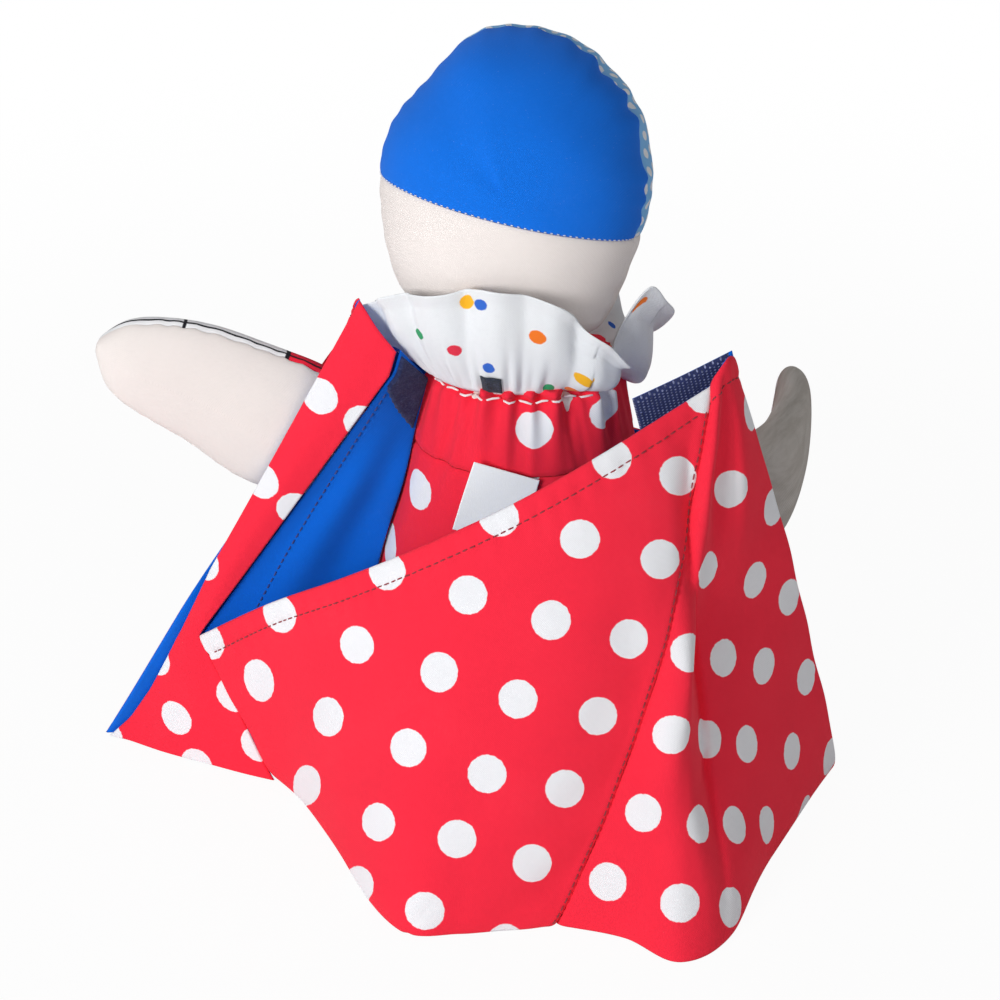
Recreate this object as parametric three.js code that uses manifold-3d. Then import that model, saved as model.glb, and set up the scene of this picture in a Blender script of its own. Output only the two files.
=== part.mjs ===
// Cloth clown doll, seen from behind in its photograph: a stuffed head, body and two mitten arms,
// a gathered ruffle collar and a lined, dotted tunic whose back closure hangs open.
// Millimetres, +Z up. The origin is the middle of the flat base on the floor. The doll faces +Y.
import * as THREE from 'three';
import Module from 'manifold-3d';

const wasm = await Module();
wasm.setup();

const V = (x, y, z) => new THREE.Vector3(x, y, z);

// Cloth thicknesses and clearances
const COTTON = 1.0; // one layer of tunic or collar cloth
const COVER = 1.2; // sewn cover of a stuffed part
const LAYER_GAP = 0.3; // between two layers that lie together
const SEAM_GAP = 0.4; // between two panels along their shared seam
const SEAT_GAP = 0.4; // between a moving soft part and what it sits on

// Stuffed body
const TORSO_HEIGHT = 163;
const TORSO_LEAN = 4; // sideways, at the neckline
const BASE_HALF_WIDTH = 50;
const BASE_HALF_DEPTH = 40;
const BELLY_HEIGHT = 45;
const BELLY_HALF_WIDTH = 55;
const BELLY_HALF_DEPTH = 45;
const WAIST_HEIGHT = 84;
const WAIST_HALF_WIDTH = 51;
const WAIST_HALF_DEPTH = 41;
const CHEST_HEIGHT = 117;
const CHEST_HALF_WIDTH = 42.3;
const CHEST_HALF_DEPTH = 35;
const NECKLINE_HALF_WIDTH = 33.5;
const NECKLINE_HALF_DEPTH = 27;
const NECKLINE_ROUND = 3; // height of the rounded top edge
const NECKLINE_ROUND_INSET = 1;
const YOKE_SEAM_HEIGHT = 132;
const BEAN_POUCH_HEIGHT = 20;
const THREAD_RADIUS = 0.8;
const THREAD_DROP = 3.5; // gathering thread below the top of the body

// Head, in its own axes: x to its right, y to its face, z to its crown, from its widest level
const HEAD_RISE = 64.4; // of its widest level above the top of the body
const HEAD_FORWARD = 12;
const HEAD_SIDEWAYS = 0.4;
const HEAD_CENTRE = V(HEAD_SIDEWAYS, HEAD_FORWARD, TORSO_HEIGHT + HEAD_RISE);
const HEAD_PITCH = 14; // degrees, forwards
const HEAD_ROLL = 8; // degrees, crown towards +X
const HEAD_YAW = 9; // degrees, its right side towards the camera
const HEAD_HALF_WIDTH = 47;
const HEAD_HALF_DEPTH = 41;
const CROWN_HEIGHT = 51;
const JAW_DROP = 42;
const JAW_HALF_WIDTH = 36;
const HEAD_DROP = 53;
const HEAD_FOOT_HALF_WIDTH = 24;
const CAP_SEAM_RISE = -10; // of the seam between cap and nape, below the widest level
const CAP_SEAM_TILT = 5; // degrees, lower on the doll's right
const NECK_PIVOT_DROP = 48;
const NECK_BALL_RADIUS = 13;
const NECK_STEM_RADIUS = 8;

// Ruffle collar
const COLLAR_INSET = 2.5; // of its lower edge inside the neckline
const COLLAR_FLARE_SIDE = 17;
const COLLAR_FLARE_BACK = 13;
const COLLAR_FLARE_FRONT = 26;
const COLLAR_LOW_HEIGHT = 16;
const COLLAR_BACK_RISE = 24;
const COLLAR_HIGHEST_AT = -108; // degrees in plan from +X
const COLLAR_FLUTES = 11;
const COLLAR_FLUTE_DEPTH = 3.2;
const CLOSURE_TAPE_WIDTH = 9;
const CLOSURE_TAPE_HEIGHT = 7;
const CLOSURE_TAPE_AT = -100; // degrees in plan from +X
const CLOSURE_TAPE_RISE = 0.04; // share of the collar's height below the tape

// Arms: rounded roots that turn beside the body, then swelling mittens
const ARM_HALF_THICKNESS = 9;
const ARM_LEAST_FILLING = 0.3; // half size of the filling at the very tip
const LEFT_ARM_ROOT_RADIUS = 20;
const LEFT_ARM_ROOT_HEIGHT = 124;
const LEFT_ARM_SPINE = [V(-21, 0, 12), V(-47, 0, 27), V(-70, 0, 37), V(-80, 0, 41.5), V(-86, 0, 44)];
const LEFT_ARM_HALF_WIDTHS = [27, 23.5, 18.5, 13, 4];
const RIGHT_ARM_ROOT_RADIUS = 18;
const RIGHT_ARM_ROOT_HEIGHT = 108;
const RIGHT_ARM_SPINE = [
  V(14, 8, -6), V(28, 23, -9), V(36, 44, -6), V(39, 62, 1), V(39.5, 72, 4), V(40, 78, 5),
];
const RIGHT_ARM_HALF_WIDTHS = [23, 26, 23, 17, 11, 2.5];
const RIGHT_ARM_ROOT_TURN = 30; // degrees, of the root towards the face
const RIGHT_ARM_NESTLE = 1.5; // how much closer the turned root comes to the round body

// Tunic: each station is a line of the cloth from its upper edge to the hem, with its bulge halfway
const TUNIC_REACH_LEFT = 154.3; // of the hem, from the middle of the base
const TUNIC_REACH_RIGHT = 119.8;
const TUNIC_REACH_BACK = 135;
const TUNIC_REACH_FRONT = 116;
const TUNIC_LEFT_RISE = 28.4; // of the left shoulder point above the top of the body
const TUNIC_RIGHT_RISE = 18.8;
const LEFT_SHOULDER_HEIGHT = TORSO_HEIGHT + TUNIC_LEFT_RISE;
const RIGHT_SHOULDER_HEIGHT = TORSO_HEIGHT + TUNIC_RIGHT_RISE;
const LEFT_EDGE = {
  top: V(-53.6, -12, LEFT_SHOULDER_HEIGHT), hem: V(-TUNIC_REACH_LEFT, 4.6, 0), bulge: V(0, -5, 0),
};
const OPENING_TOP = V(-43.4, -20, 166.4); // the back opening, on the left panel's edge
const OPENING_FOOT = V(-115.1, -8, 52.6);
const CENTRE_BACK_HEM = V(-88.5, -24.9, 0);
const BACK_STATIONS = [
  { top: OPENING_FOOT, hem: CENTRE_BACK_HEM, bulge: V(0, 0, 0) },
  { top: V(-87.2, -31, 80.6), hem: V(-73, -50, 0), bulge: V(0, 0, 0) },
  { top: V(-59.3, -48, 101.8), hem: V(-57, -88, 0), bulge: V(0, -1, 0) },
  { top: V(-32.8, -59, 120.5), hem: V(-40, -118, 0), bulge: V(2, -3, 0) },
  { top: V(-2, -65, 140.5), hem: V(-20, -119, 0), bulge: V(5, -4, 0) },
  { top: V(28.2, -61, 157.7), hem: V(-3, -117, 0), bulge: V(7.5, -5, 0) },
  { top: V(66.4, -42, 174.2), hem: V(13.6, -114.3, 0), bulge: V(8.5, -5, 0) },
];
const SIDE_STATIONS = [
  { top: V(66.4, -42, 174.2), hem: V(13.6, -114.3, 0), bulge: V(8.5, -5, 0) },
  { top: V(68.4, -41, RIGHT_SHOULDER_HEIGHT - 3), hem: V(36, -121.5, 0), bulge: V(7, -4, 0) },
  { top: V(70.2, -39.5, RIGHT_SHOULDER_HEIGHT - 0.6), hem: V(56, -TUNIC_REACH_BACK, 0), bulge: V(1, 12, 0) },
  { top: V(71.6, -37, RIGHT_SHOULDER_HEIGHT), hem: V(76, -118, 0), bulge: V(3, 10, 0) },
  { top: V(72.6, -34, RIGHT_SHOULDER_HEIGHT - 0.8), hem: V(92, -74, 0), bulge: V(4, -2, 0) },
  { top: V(73.4, -31, RIGHT_SHOULDER_HEIGHT - 2.3), hem: V(TUNIC_REACH_RIGHT, -16.5, 0), bulge: V(2.5, 0, 0) },
];
const FRONT_STATIONS = [
  { top: V(-53.6, -11.5, LEFT_SHOULDER_HEIGHT), hem: V(-TUNIC_REACH_LEFT, 5.1, 0), bulge: V(8, 28, 0) },
  { top: V(-54, 14, 172), hem: V(-138, 46, 0), bulge: V(6, 20, 0) },
  { top: V(-36, 44, 154), hem: V(-104, 76, 0), bulge: V(0, 10, 0) },
  { top: V(2, 50, 141), hem: V(-52, TUNIC_REACH_FRONT, 0), bulge: V(0, 3, 0) },
  { top: V(34, 46, 114), hem: V(10, 104, 0), bulge: V(0, 0, 0) },
  { top: V(60, 38, 112), hem: V(66, TUNIC_REACH_FRONT, 0), bulge: V(0, 3, 0) },
  { top: V(76, 26, 136), hem: V(100, 60, 0), bulge: V(-4, 6, 0) },
];
const PANEL_ROW_COUNT = 6;
const STATION_STEP_COUNT = 2;
const LEFT_COLUMN_COUNT = 3;
const ROW_COUNT_BESIDE_OPENING = 6;
const ROW_COUNT_BELOW_OPENING = 2;
const SIDE_EDGE_LEFT = V(-1, 0, 0.2).normalize(); // outward at the open left side edge
const SIDE_EDGE_RIGHT = V(1, 0, 0.1).normalize();
const CENTRE_BACK_OUTWARD = V(-0.52, -0.85, 0).normalize();

// Right shoulder strap, over the arm from the side panel to the front panel
const STRAP_PATH = [V(81.2, -28.4, 141), V(76.5, -2, 143), V(71.3, 23.7, 134.5)];
const STRAP_WIDTH = 13;
const STRAP_THICKNESS = 2;

// Back closure: loop tape on the left underlap, hook tape on the folded right tab
const UNDERLAP_SET_BACK = V(1.2, 1.65, 0);
const UNDERLAP_TORSO_GAP = 1.1;
const UNDERLAP_SIDE_ANGLE = 205; // degrees in plan, where it ends beside the body
const UNDERLAP_TOP_HEIGHT = 157.5;
const UNDERLAP_FOOT_HEIGHT = 50;
const TAPE_THICKNESS = 1.2;
const LOOP_TAPE_SPAN = { across: [0.08, 0.92], along: [0.01, 0.21] };
const TAB_FOLD_TOP = V(73.9, -29.2, RIGHT_SHOULDER_HEIGHT - 0.9); // on the side panel's edge
const TAB_ALONG = V(-0.9, -0.178, -0.4).normalize();
const TAB_FOLD = V(0.23, 0.08, -0.97).normalize();
const TAB_LENGTH = 38;
const TAB_WIDTH = 14;
const HOOK_TAPE_MARGIN = 1.5;
const HOOK_TAPE_FROM_FOLD = 6;

// Care label, bare, sewn into the yoke seam
const LABEL_WIDTH = 24;
const LABEL_LENGTH = 25;
const LABEL_THICKNESS = 0.8;
const LABEL_MIDDLE_X = -3;
const LABEL_TILT = 18; // degrees, its right side lower
const LABEL_STAND_OFF = 19; // degrees, away from the body

// Mesh fineness
const BODY_SEGMENT_COUNT = 28;
const HEAD_SEGMENT_COUNT = 26;
const ARM_SEGMENT_COUNT = 16;
const COLLAR_SEGMENT_COUNT = 88;
const COLLAR_RISES = [0, 0.28, 0.55, 0.8, 1];
const CROWN_RINGS = [0.275, 0.53, 0.725, 0.863, 0.951]; // shares of the crown's height
const ARM_ROOT_RINGS = [-0.97, -0.8, -0.45, 0]; // shares of the root's radius
const THREAD_SIDE_COUNT = 6;
const NECK_SEGMENT_COUNT = 18;
const NECK_ARC_STEP_COUNT = 8;
const STRAP_STEP_COUNT = 6;
const UNDERLAP_ROW_COUNT = 6;
const UNDERLAP_COLUMN_COUNT = 3;

// Colours, as sRGB
const CAP_BLUE = 0x1468d8;
const CREAM = 0xefe8e4;
const DOT_RED = 0xee2f4a;
const LINING_BLUE = 0x0a5fd0;
const NAVY = 0x343f6a;
const COLLAR_WHITE = 0xe6e9ee;
const CHARCOAL = 0x33363c;
const PRINT_BLUE = 0xa9cdf2;
const STUFFING_WHITE = 0xf4f2ec;

function cloth(color, roughness = 0.9) {
  return new THREE.MeshStandardMaterial({ color, roughness, metalness: 0 });
}

// Solids from points

function closedGeometry(points, triangles) {
  const position = new Float32Array(points.flatMap((p) => [p.x, p.y, p.z]));
  const volume = triangles.reduce((sum, [a, b, c]) => {
    return sum + points[a].dot(points[b].clone().cross(points[c]));
  }, 0);
  const outward = volume >= 0 ? triangles : triangles.map(([a, b, c]) => [a, c, b]);
  const geometry = new THREE.BufferGeometry();
  geometry.setAttribute('position', new THREE.BufferAttribute(position, 3));
  geometry.setIndex(outward.flat());
  return geometry;
}

// Skin through rings of equal count, closed at both ends by a fan to a middle point
function loft(rings, firstMiddle, lastMiddle) {
  const count = rings[0].length;
  const points = rings.flat();
  const triangles = [];
  for (let r = 0; r + 1 < rings.length; r += 1) {
    for (let i = 0; i < count; i += 1) {
      const a = r * count + i;
      const b = r * count + ((i + 1) % count);
      triangles.push([a, b, b + count], [a, b + count, a + count]);
    }
  }
  const first = points.push(firstMiddle) - 1;
  const last = points.push(lastMiddle) - 1;
  const lastRing = (rings.length - 1) * count;
  for (let i = 0; i < count; i += 1) {
    const next = (i + 1) % count;
    triangles.push([first, next, i], [last, lastRing + i, lastRing + next]);
  }
  return closedGeometry(points, triangles);
}

// Cloth between two distances along the normals of a grid of points; wraps round if it is a ring
function clothSheet(grid, normals, near, far, ring = false) {
  const rows = grid.length;
  const columns = grid[0].length;
  const layer = (distance) => grid.flatMap((row, r) => {
    return row.map((p, c) => p.clone().addScaledVector(normals[r][c], distance));
  });
  const points = [...layer(near), ...layer(far)];
  const half = rows * columns;
  const triangles = [];
  const quad = (a, b, c, d) => triangles.push([a, b, c], [a, c, d]);
  const spans = ring ? columns : columns - 1;
  for (let c = 0; c < spans; c += 1) {
    const n = (c + 1) % columns;
    for (let r = 0; r + 1 < rows; r += 1) {
      const [a, b, d, e] = [r * columns + c, r * columns + n, (r + 1) * columns + n, (r + 1) * columns + c];
      quad(a, b, d, e);
      quad(half + a, half + e, half + d, half + b);
    }
    const low = (rows - 1) * columns;
    quad(c, half + c, half + n, n);
    quad(low + c, low + n, half + low + n, half + low + c);
  }
  for (let r = 0; !ring && r + 1 < rows; r += 1) {
    const [a, e] = [r * columns, (r + 1) * columns];
    const [b, d] = [a + columns - 1, e + columns - 1];
    quad(a, e, half + e, half + a);
    quad(b, half + b, half + d, d);
  }
  return closedGeometry(points, triangles);
}

function gridNormals(grid, ring = false) {
  const rows = grid.length;
  const columns = grid[0].length;
  return grid.map((row, r) => row.map((_, c) => {
    const before = ring ? (c + columns - 1) % columns : Math.max(c - 1, 0);
    const after = ring ? (c + 1) % columns : Math.min(c + 1, columns - 1);
    const across = row[after].clone().sub(row[before]);
    const down = grid[Math.min(r + 1, rows - 1)][c].clone().sub(grid[Math.max(r - 1, 0)][c]);
    return down.cross(across).normalize();
  }));
}

// Joining and cutting

function toSolid(geometry) {
  const vertProperties = geometry.attributes.position.array;
  const triVerts = new Uint32Array(geometry.index.array);
  return new wasm.Manifold(new wasm.Mesh({ numProp: 3, vertProperties, triVerts }));
}

function toGeometry(solid) {
  const { vertProperties, triVerts } = solid.getMesh();
  const geometry = new THREE.BufferGeometry();
  geometry.setAttribute('position', new THREE.BufferAttribute(new Float32Array(vertProperties), 3));
  geometry.setIndex([...triVerts]);
  return geometry;
}

const CUT_REACH = 2000;

// Half-space on the side that the direction points to
function sideOf(point, direction) {
  const box = new THREE.BoxGeometry(CUT_REACH, CUT_REACH, CUT_REACH);
  box.translate(0, 0, CUT_REACH / 2);
  box.applyQuaternion(new THREE.Quaternion().setFromUnitVectors(V(0, 0, 1), direction));
  box.translate(point.x, point.y, point.z);
  return toSolid(welded(box));
}

// Box and sphere geometry with its shared corners merged
function welded(geometry) {
  const source = geometry.attributes.position;
  const seen = new Map();
  const points = [];
  const remap = [];
  for (let i = 0; i < source.count; i += 1) {
    const p = new THREE.Vector3().fromBufferAttribute(source, i);
    const key = [p.x, p.y, p.z].map((v) => Math.round(v * 1e4)).join();
    if (!seen.has(key)) {
      seen.set(key, points.push(p) - 1);
    }
    remap.push(seen.get(key));
  }
  const triangles = [];
  for (let i = 0; i < geometry.index.count; i += 3) {
    const corners = [0, 1, 2].map((k) => remap[geometry.index.getX(i + k)]);
    if (new Set(corners).size === 3) {
      triangles.push(corners);
    }
  }
  return closedGeometry(points, triangles);
}

const doll = new THREE.Group();

function addPiece(name, geometry, material, parent = doll) {
  geometry.computeVertexNormals();
  const mesh = new THREE.Mesh(geometry, material);
  mesh.name = name;
  parent.add(mesh);
  return mesh;
}

// Body

const TORSO_PROFILE = [
  { z: 0, halfWidth: BASE_HALF_WIDTH, halfDepth: BASE_HALF_DEPTH },
  { z: BELLY_HEIGHT / 3, halfWidth: (BASE_HALF_WIDTH + 2 * BELLY_HALF_WIDTH) / 3,
    halfDepth: (BASE_HALF_DEPTH + 2 * BELLY_HALF_DEPTH) / 3 },
  { z: BELLY_HEIGHT, halfWidth: BELLY_HALF_WIDTH, halfDepth: BELLY_HALF_DEPTH },
  { z: WAIST_HEIGHT, halfWidth: WAIST_HALF_WIDTH, halfDepth: WAIST_HALF_DEPTH },
  { z: CHEST_HEIGHT, halfWidth: CHEST_HALF_WIDTH, halfDepth: CHEST_HALF_DEPTH },
  { z: (CHEST_HEIGHT + TORSO_HEIGHT) / 2, halfWidth: (CHEST_HALF_WIDTH + NECKLINE_HALF_WIDTH) / 2,
    halfDepth: (CHEST_HALF_DEPTH + NECKLINE_HALF_DEPTH) / 2 },
  { z: TORSO_HEIGHT - NECKLINE_ROUND, halfWidth: NECKLINE_HALF_WIDTH, halfDepth: NECKLINE_HALF_DEPTH },
  { z: TORSO_HEIGHT, halfWidth: NECKLINE_HALF_WIDTH - NECKLINE_ROUND_INSET,
    halfDepth: NECKLINE_HALF_DEPTH - NECKLINE_ROUND_INSET },
];

const torsoMiddleX = (z) => (TORSO_LEAN * z) / TORSO_HEIGHT;

function torsoSize(z) {
  const found = TORSO_PROFILE.findIndex((row) => row.z >= z);
  const upper = found < 0 ? TORSO_PROFILE.length - 1 : Math.max(found, 1);
  const above = TORSO_PROFILE[upper];
  const below = TORSO_PROFILE[upper - 1];
  const share = THREE.MathUtils.clamp((z - below.z) / (above.z - below.z), 0, 1);
  return {
    halfWidth: THREE.MathUtils.lerp(below.halfWidth, above.halfWidth, share),
    halfDepth: THREE.MathUtils.lerp(below.halfDepth, above.halfDepth, share),
  };
}

function torsoPoint(z, degrees, outward) {
  const { halfWidth, halfDepth } = torsoSize(z);
  const angle = THREE.MathUtils.degToRad(degrees);
  const x = torsoMiddleX(z) + (halfWidth + outward) * Math.cos(angle);
  return V(x, (halfDepth + outward) * Math.sin(angle), z);
}

function torsoRing(z, outward) {
  const step = 360 / BODY_SEGMENT_COUNT;
  return Array.from({ length: BODY_SEGMENT_COUNT }, (_, i) => torsoPoint(z, step * i, outward));
}

// The body's form from one height to another, drawn in by a distance on its sides
function torsoForm(bottom, top, outward) {
  const between = TORSO_PROFILE.map((row) => row.z).filter((z) => z > bottom + 1 && z < top - 1);
  const heights = [bottom, ...between, top];
  const rings = heights.map((z) => torsoRing(z, outward));
  return loft(rings, V(torsoMiddleX(bottom), 0, bottom), V(torsoMiddleX(top), 0, top));
}

function addBody() {
  const coverFoot = COVER + LAYER_GAP;
  const outer = toSolid(torsoForm(coverFoot, TORSO_HEIGHT, 0));
  const inner = toSolid(torsoForm(0, TORSO_HEIGHT - COVER, -COVER));
  const cover = outer.subtract(inner);
  const back = cover.intersect(sideOf(V(0, -SEAM_GAP / 2, 0), V(0, -1, 0)));
  const front = cover.intersect(sideOf(V(0, SEAM_GAP / 2, 0), V(0, 1, 0)));
  const yoke = back.intersect(sideOf(V(0, 0, YOKE_SEAM_HEIGHT + SEAM_GAP / 2), V(0, 0, 1)));
  const lower = back.intersect(sideOf(V(0, 0, YOKE_SEAM_HEIGHT - SEAM_GAP / 2), V(0, 0, -1)));
  addPiece('torso_back_yoke', toGeometry(yoke), cloth(DOT_RED));
  addPiece('torso_back_panel', toGeometry(lower), cloth(DOT_RED));
  addPiece('torso_front_panel', toGeometry(front), cloth(DOT_RED));
  addPiece('torso_base_panel', torsoForm(0, COVER, 0), cloth(DOT_RED));
  const filling = -COVER - LAYER_GAP;
  const pouchTop = coverFoot + BEAN_POUCH_HEIGHT;
  addPiece('bean_pouch', torsoForm(coverFoot, pouchTop, filling), cloth(CREAM));
  const stuffingTop = TORSO_HEIGHT - COVER - LAYER_GAP;
  addPiece('torso_stuffing', torsoForm(pouchTop + LAYER_GAP, stuffingTop, filling), cloth(STUFFING_WHITE, 1));
}

function addGatheringThread() {
  const height = TORSO_HEIGHT - THREAD_DROP;
  const middle = torsoRing(height, THREAD_RADIUS + LAYER_GAP);
  const outward = middle.map((p) => V(p.x - torsoMiddleX(height), p.y, 0).normalize());
  const points = middle.flatMap((p, i) => Array.from({ length: THREAD_SIDE_COUNT }, (_, k) => {
    const angle = (2 * Math.PI * k) / THREAD_SIDE_COUNT;
    const reach = outward[i].clone().multiplyScalar(THREAD_RADIUS * Math.cos(angle));
    return p.clone().add(reach).add(V(0, 0, THREAD_RADIUS * Math.sin(angle)));
  }));
  const triangles = [];
  for (let i = 0; i < middle.length; i += 1) {
    for (let k = 0; k < THREAD_SIDE_COUNT; k += 1) {
      const next = ((i + 1) % middle.length) * THREAD_SIDE_COUNT;
      const after = (k + 1) % THREAD_SIDE_COUNT;
      const [a, b] = [i * THREAD_SIDE_COUNT + k, i * THREAD_SIDE_COUNT + after];
      const [c, d] = [next + after, next + k];
      triangles.push([a, b, c], [a, c, d]);
    }
  }
  addPiece('neck_gather_thread', closedGeometry(points, triangles), cloth(COLLAR_WHITE));
}

// Collar

function collarPoint(degrees, rise) {
  const angle = THREE.MathUtils.degToRad(degrees);
  const fromHighest = THREE.MathUtils.degToRad(degrees - COLLAR_HIGHEST_AT);
  const height = COLLAR_LOW_HEIGHT + COLLAR_BACK_RISE * (0.5 + 0.5 * Math.cos(fromHighest)) ** 3;
  const flute = COLLAR_FLUTE_DEPTH * rise * Math.cos(COLLAR_FLUTES * angle);
  const flare = Math.sin(angle) > 0 ? COLLAR_FLARE_FRONT : COLLAR_FLARE_BACK;
  const x = (NECKLINE_HALF_WIDTH - COLLAR_INSET + COLLAR_FLARE_SIDE * rise + flute) * Math.cos(angle);
  const y = (NECKLINE_HALF_DEPTH - COLLAR_INSET + flare * rise + flute) * Math.sin(angle);
  return V(x, y, TORSO_HEIGHT + SEAT_GAP + COTTON / 2 + height * rise);
}

function addCollar() {
  const grid = COLLAR_RISES.map((rise) => Array.from({ length: COLLAR_SEGMENT_COUNT }, (_, i) => {
    return collarPoint((360 * i) / COLLAR_SEGMENT_COUNT, rise);
  }));
  const normals = gridNormals(grid, true);
  const ruffle = clothSheet(grid, normals, -COTTON / 2, COTTON / 2, true);
  addPiece('collar_ruffle', ruffle, cloth(COLLAR_WHITE));
  const reach = THREE.MathUtils.radToDeg(CLOSURE_TAPE_WIDTH / 2 / NECKLINE_HALF_DEPTH);
  const tapeTop = CLOSURE_TAPE_RISE + CLOSURE_TAPE_HEIGHT / (COLLAR_LOW_HEIGHT + COLLAR_BACK_RISE);
  const tapeRises = [CLOSURE_TAPE_RISE, tapeTop];
  const tapeAngles = [-1, 0, 1].map((side) => CLOSURE_TAPE_AT + side * reach);
  const tapeGrid = tapeRises.map((rise) => tapeAngles.map((degrees) => collarPoint(degrees, rise)));
  const outward = gridNormals(tapeGrid).map((row) => row.map((n) => (n.y > 0 ? n.negate() : n)));
  const tapeBack = COTTON / 2 + LAYER_GAP + COLLAR_FLUTE_DEPTH * tapeTop;
  const tape = clothSheet(tapeGrid, outward, tapeBack, tapeBack + TAPE_THICKNESS);
  addPiece('collar_closure_tape', tape, cloth(CHARCOAL));
}

// Head and neck

const headTurn = new THREE.Quaternion()
  .multiply(new THREE.Quaternion().setFromAxisAngle(V(0, 1, 0), THREE.MathUtils.degToRad(HEAD_ROLL)))
  .multiply(new THREE.Quaternion().setFromAxisAngle(V(1, 0, 0), THREE.MathUtils.degToRad(-HEAD_PITCH)))
  .multiply(new THREE.Quaternion().setFromAxisAngle(V(0, 0, 1), THREE.MathUtils.degToRad(-HEAD_YAW)));

// Half-width of the egg at a height in the head's own axes: round crown, long taper to the jaw
function headHalfWidth(height) {
  if (height >= 0) {
    return HEAD_HALF_WIDTH * Math.sqrt(Math.max(1 - (height / CROWN_HEIGHT) ** 2, 0));
  }
  if (height > -JAW_DROP) {
    return HEAD_HALF_WIDTH - (HEAD_HALF_WIDTH - JAW_HALF_WIDTH) * (height / JAW_DROP) ** 2;
  }
  const below = (-height - JAW_DROP) / (HEAD_DROP - JAW_DROP);
  return JAW_HALF_WIDTH - (JAW_HALF_WIDTH - HEAD_FOOT_HALF_WIDTH) * below ** 1.3;
}

function headForm(drawnIn) {
  const foot = -HEAD_DROP + drawnIn;
  const chin = -(HEAD_DROP + JAW_DROP) / 2 + drawnIn / 2;
  const jawRings = [1, 2 / 3, 1 / 3, 0].map((share) => -JAW_DROP * share);
  const heights = [foot, chin, ...jawRings, ...CROWN_RINGS.map((share) => CROWN_HEIGHT * share)];
  const depthShare = HEAD_HALF_DEPTH / HEAD_HALF_WIDTH;
  const rings = heights.map((height) => Array.from({ length: HEAD_SEGMENT_COUNT }, (_, i) => {
    const angle = (2 * Math.PI * i) / HEAD_SEGMENT_COUNT;
    const crownShare = height > 0 ? height / CROWN_HEIGHT : 0;
    const level = height - drawnIn * crownShare;
    const halfWidth = headHalfWidth(height) - drawnIn * (1 - crownShare * crownShare);
    return V(halfWidth * Math.cos(angle), halfWidth * depthShare * Math.sin(angle), level);
  }));
  return loft(rings, V(0, 0, foot), V(0, 0, CROWN_HEIGHT - drawnIn));
}

function addHead() {
  const head = new THREE.Group();
  head.position.copy(HEAD_CENTRE);
  head.quaternion.copy(headTurn);
  doll.add(head);
  const socketRadius = NECK_BALL_RADIUS + SEAT_GAP;
  const socketGeometry = new THREE.SphereGeometry(socketRadius, NECK_SEGMENT_COUNT, NECK_SEGMENT_COUNT);
  socketGeometry.translate(0, 0, -NECK_PIVOT_DROP);
  const socket = toSolid(welded(socketGeometry));
  const cover = toSolid(headForm(0)).subtract(toSolid(headForm(COVER))).subtract(socket);
  const back = cover.intersect(sideOf(V(0, -SEAM_GAP / 2, 0), V(0, -1, 0)));
  const front = cover.intersect(sideOf(V(0, SEAM_GAP / 2, 0), V(0, 1, 0)));
  const tilt = THREE.MathUtils.degToRad(CAP_SEAM_TILT);
  const seamUp = V(Math.sin(tilt), 0, Math.cos(tilt));
  const seamAt = (offset) => V(0, 0, CAP_SEAM_RISE).addScaledVector(seamUp, offset);
  const above = sideOf(seamAt(SEAM_GAP / 2), seamUp);
  const below = sideOf(seamAt(-SEAM_GAP / 2), seamUp.clone().negate());
  addPiece('head_back_cap', toGeometry(back.intersect(above)), cloth(CAP_BLUE), head);
  addPiece('head_back_nape', toGeometry(back.intersect(below)), cloth(CREAM), head);
  addPiece('head_front_cap', toGeometry(front.intersect(above)), cloth(PRINT_BLUE), head);
  addPiece('head_face', toGeometry(front.intersect(below)), cloth(CREAM), head);
  const stuffing = toSolid(headForm(COVER + LAYER_GAP)).subtract(socket);
  addPiece('head_stuffing', toGeometry(stuffing), cloth(STUFFING_WHITE, 1), head);
}

// The neck is a stuffed ball in the head on a stem along the head's axis down to the body
function addNeck() {
  const neck = new THREE.Group();
  const axis = V(0, 0, 1).applyQuaternion(headTurn);
  neck.position.copy(HEAD_CENTRE).addScaledVector(axis, -NECK_PIVOT_DROP);
  neck.quaternion.copy(headTurn);
  doll.add(neck);
  const slope = Math.sqrt(1 - axis.z * axis.z);
  const fall = neck.position.z - TORSO_HEIGHT - SEAT_GAP - NECK_STEM_RADIUS * slope;
  const stemLength = fall / axis.z;
  const waist = Math.asin(NECK_STEM_RADIUS / NECK_BALL_RADIUS);
  const profile = [new THREE.Vector2(0, -stemLength), new THREE.Vector2(NECK_STEM_RADIUS, -stemLength)];
  for (let i = 0; i < NECK_ARC_STEP_COUNT; i += 1) {
    const angle = waist + ((Math.PI - waist) * i) / NECK_ARC_STEP_COUNT;
    profile.push(new THREE.Vector2(NECK_BALL_RADIUS * Math.sin(angle), -NECK_BALL_RADIUS * Math.cos(angle)));
  }
  profile.push(new THREE.Vector2(0, NECK_BALL_RADIUS));
  const form = welded(new THREE.LatheGeometry(profile, NECK_SEGMENT_COUNT));
  form.rotateX(Math.PI / 2);
  addPiece('neck_stem', form, cloth(CREAM), neck);
}

// Arms

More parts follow.
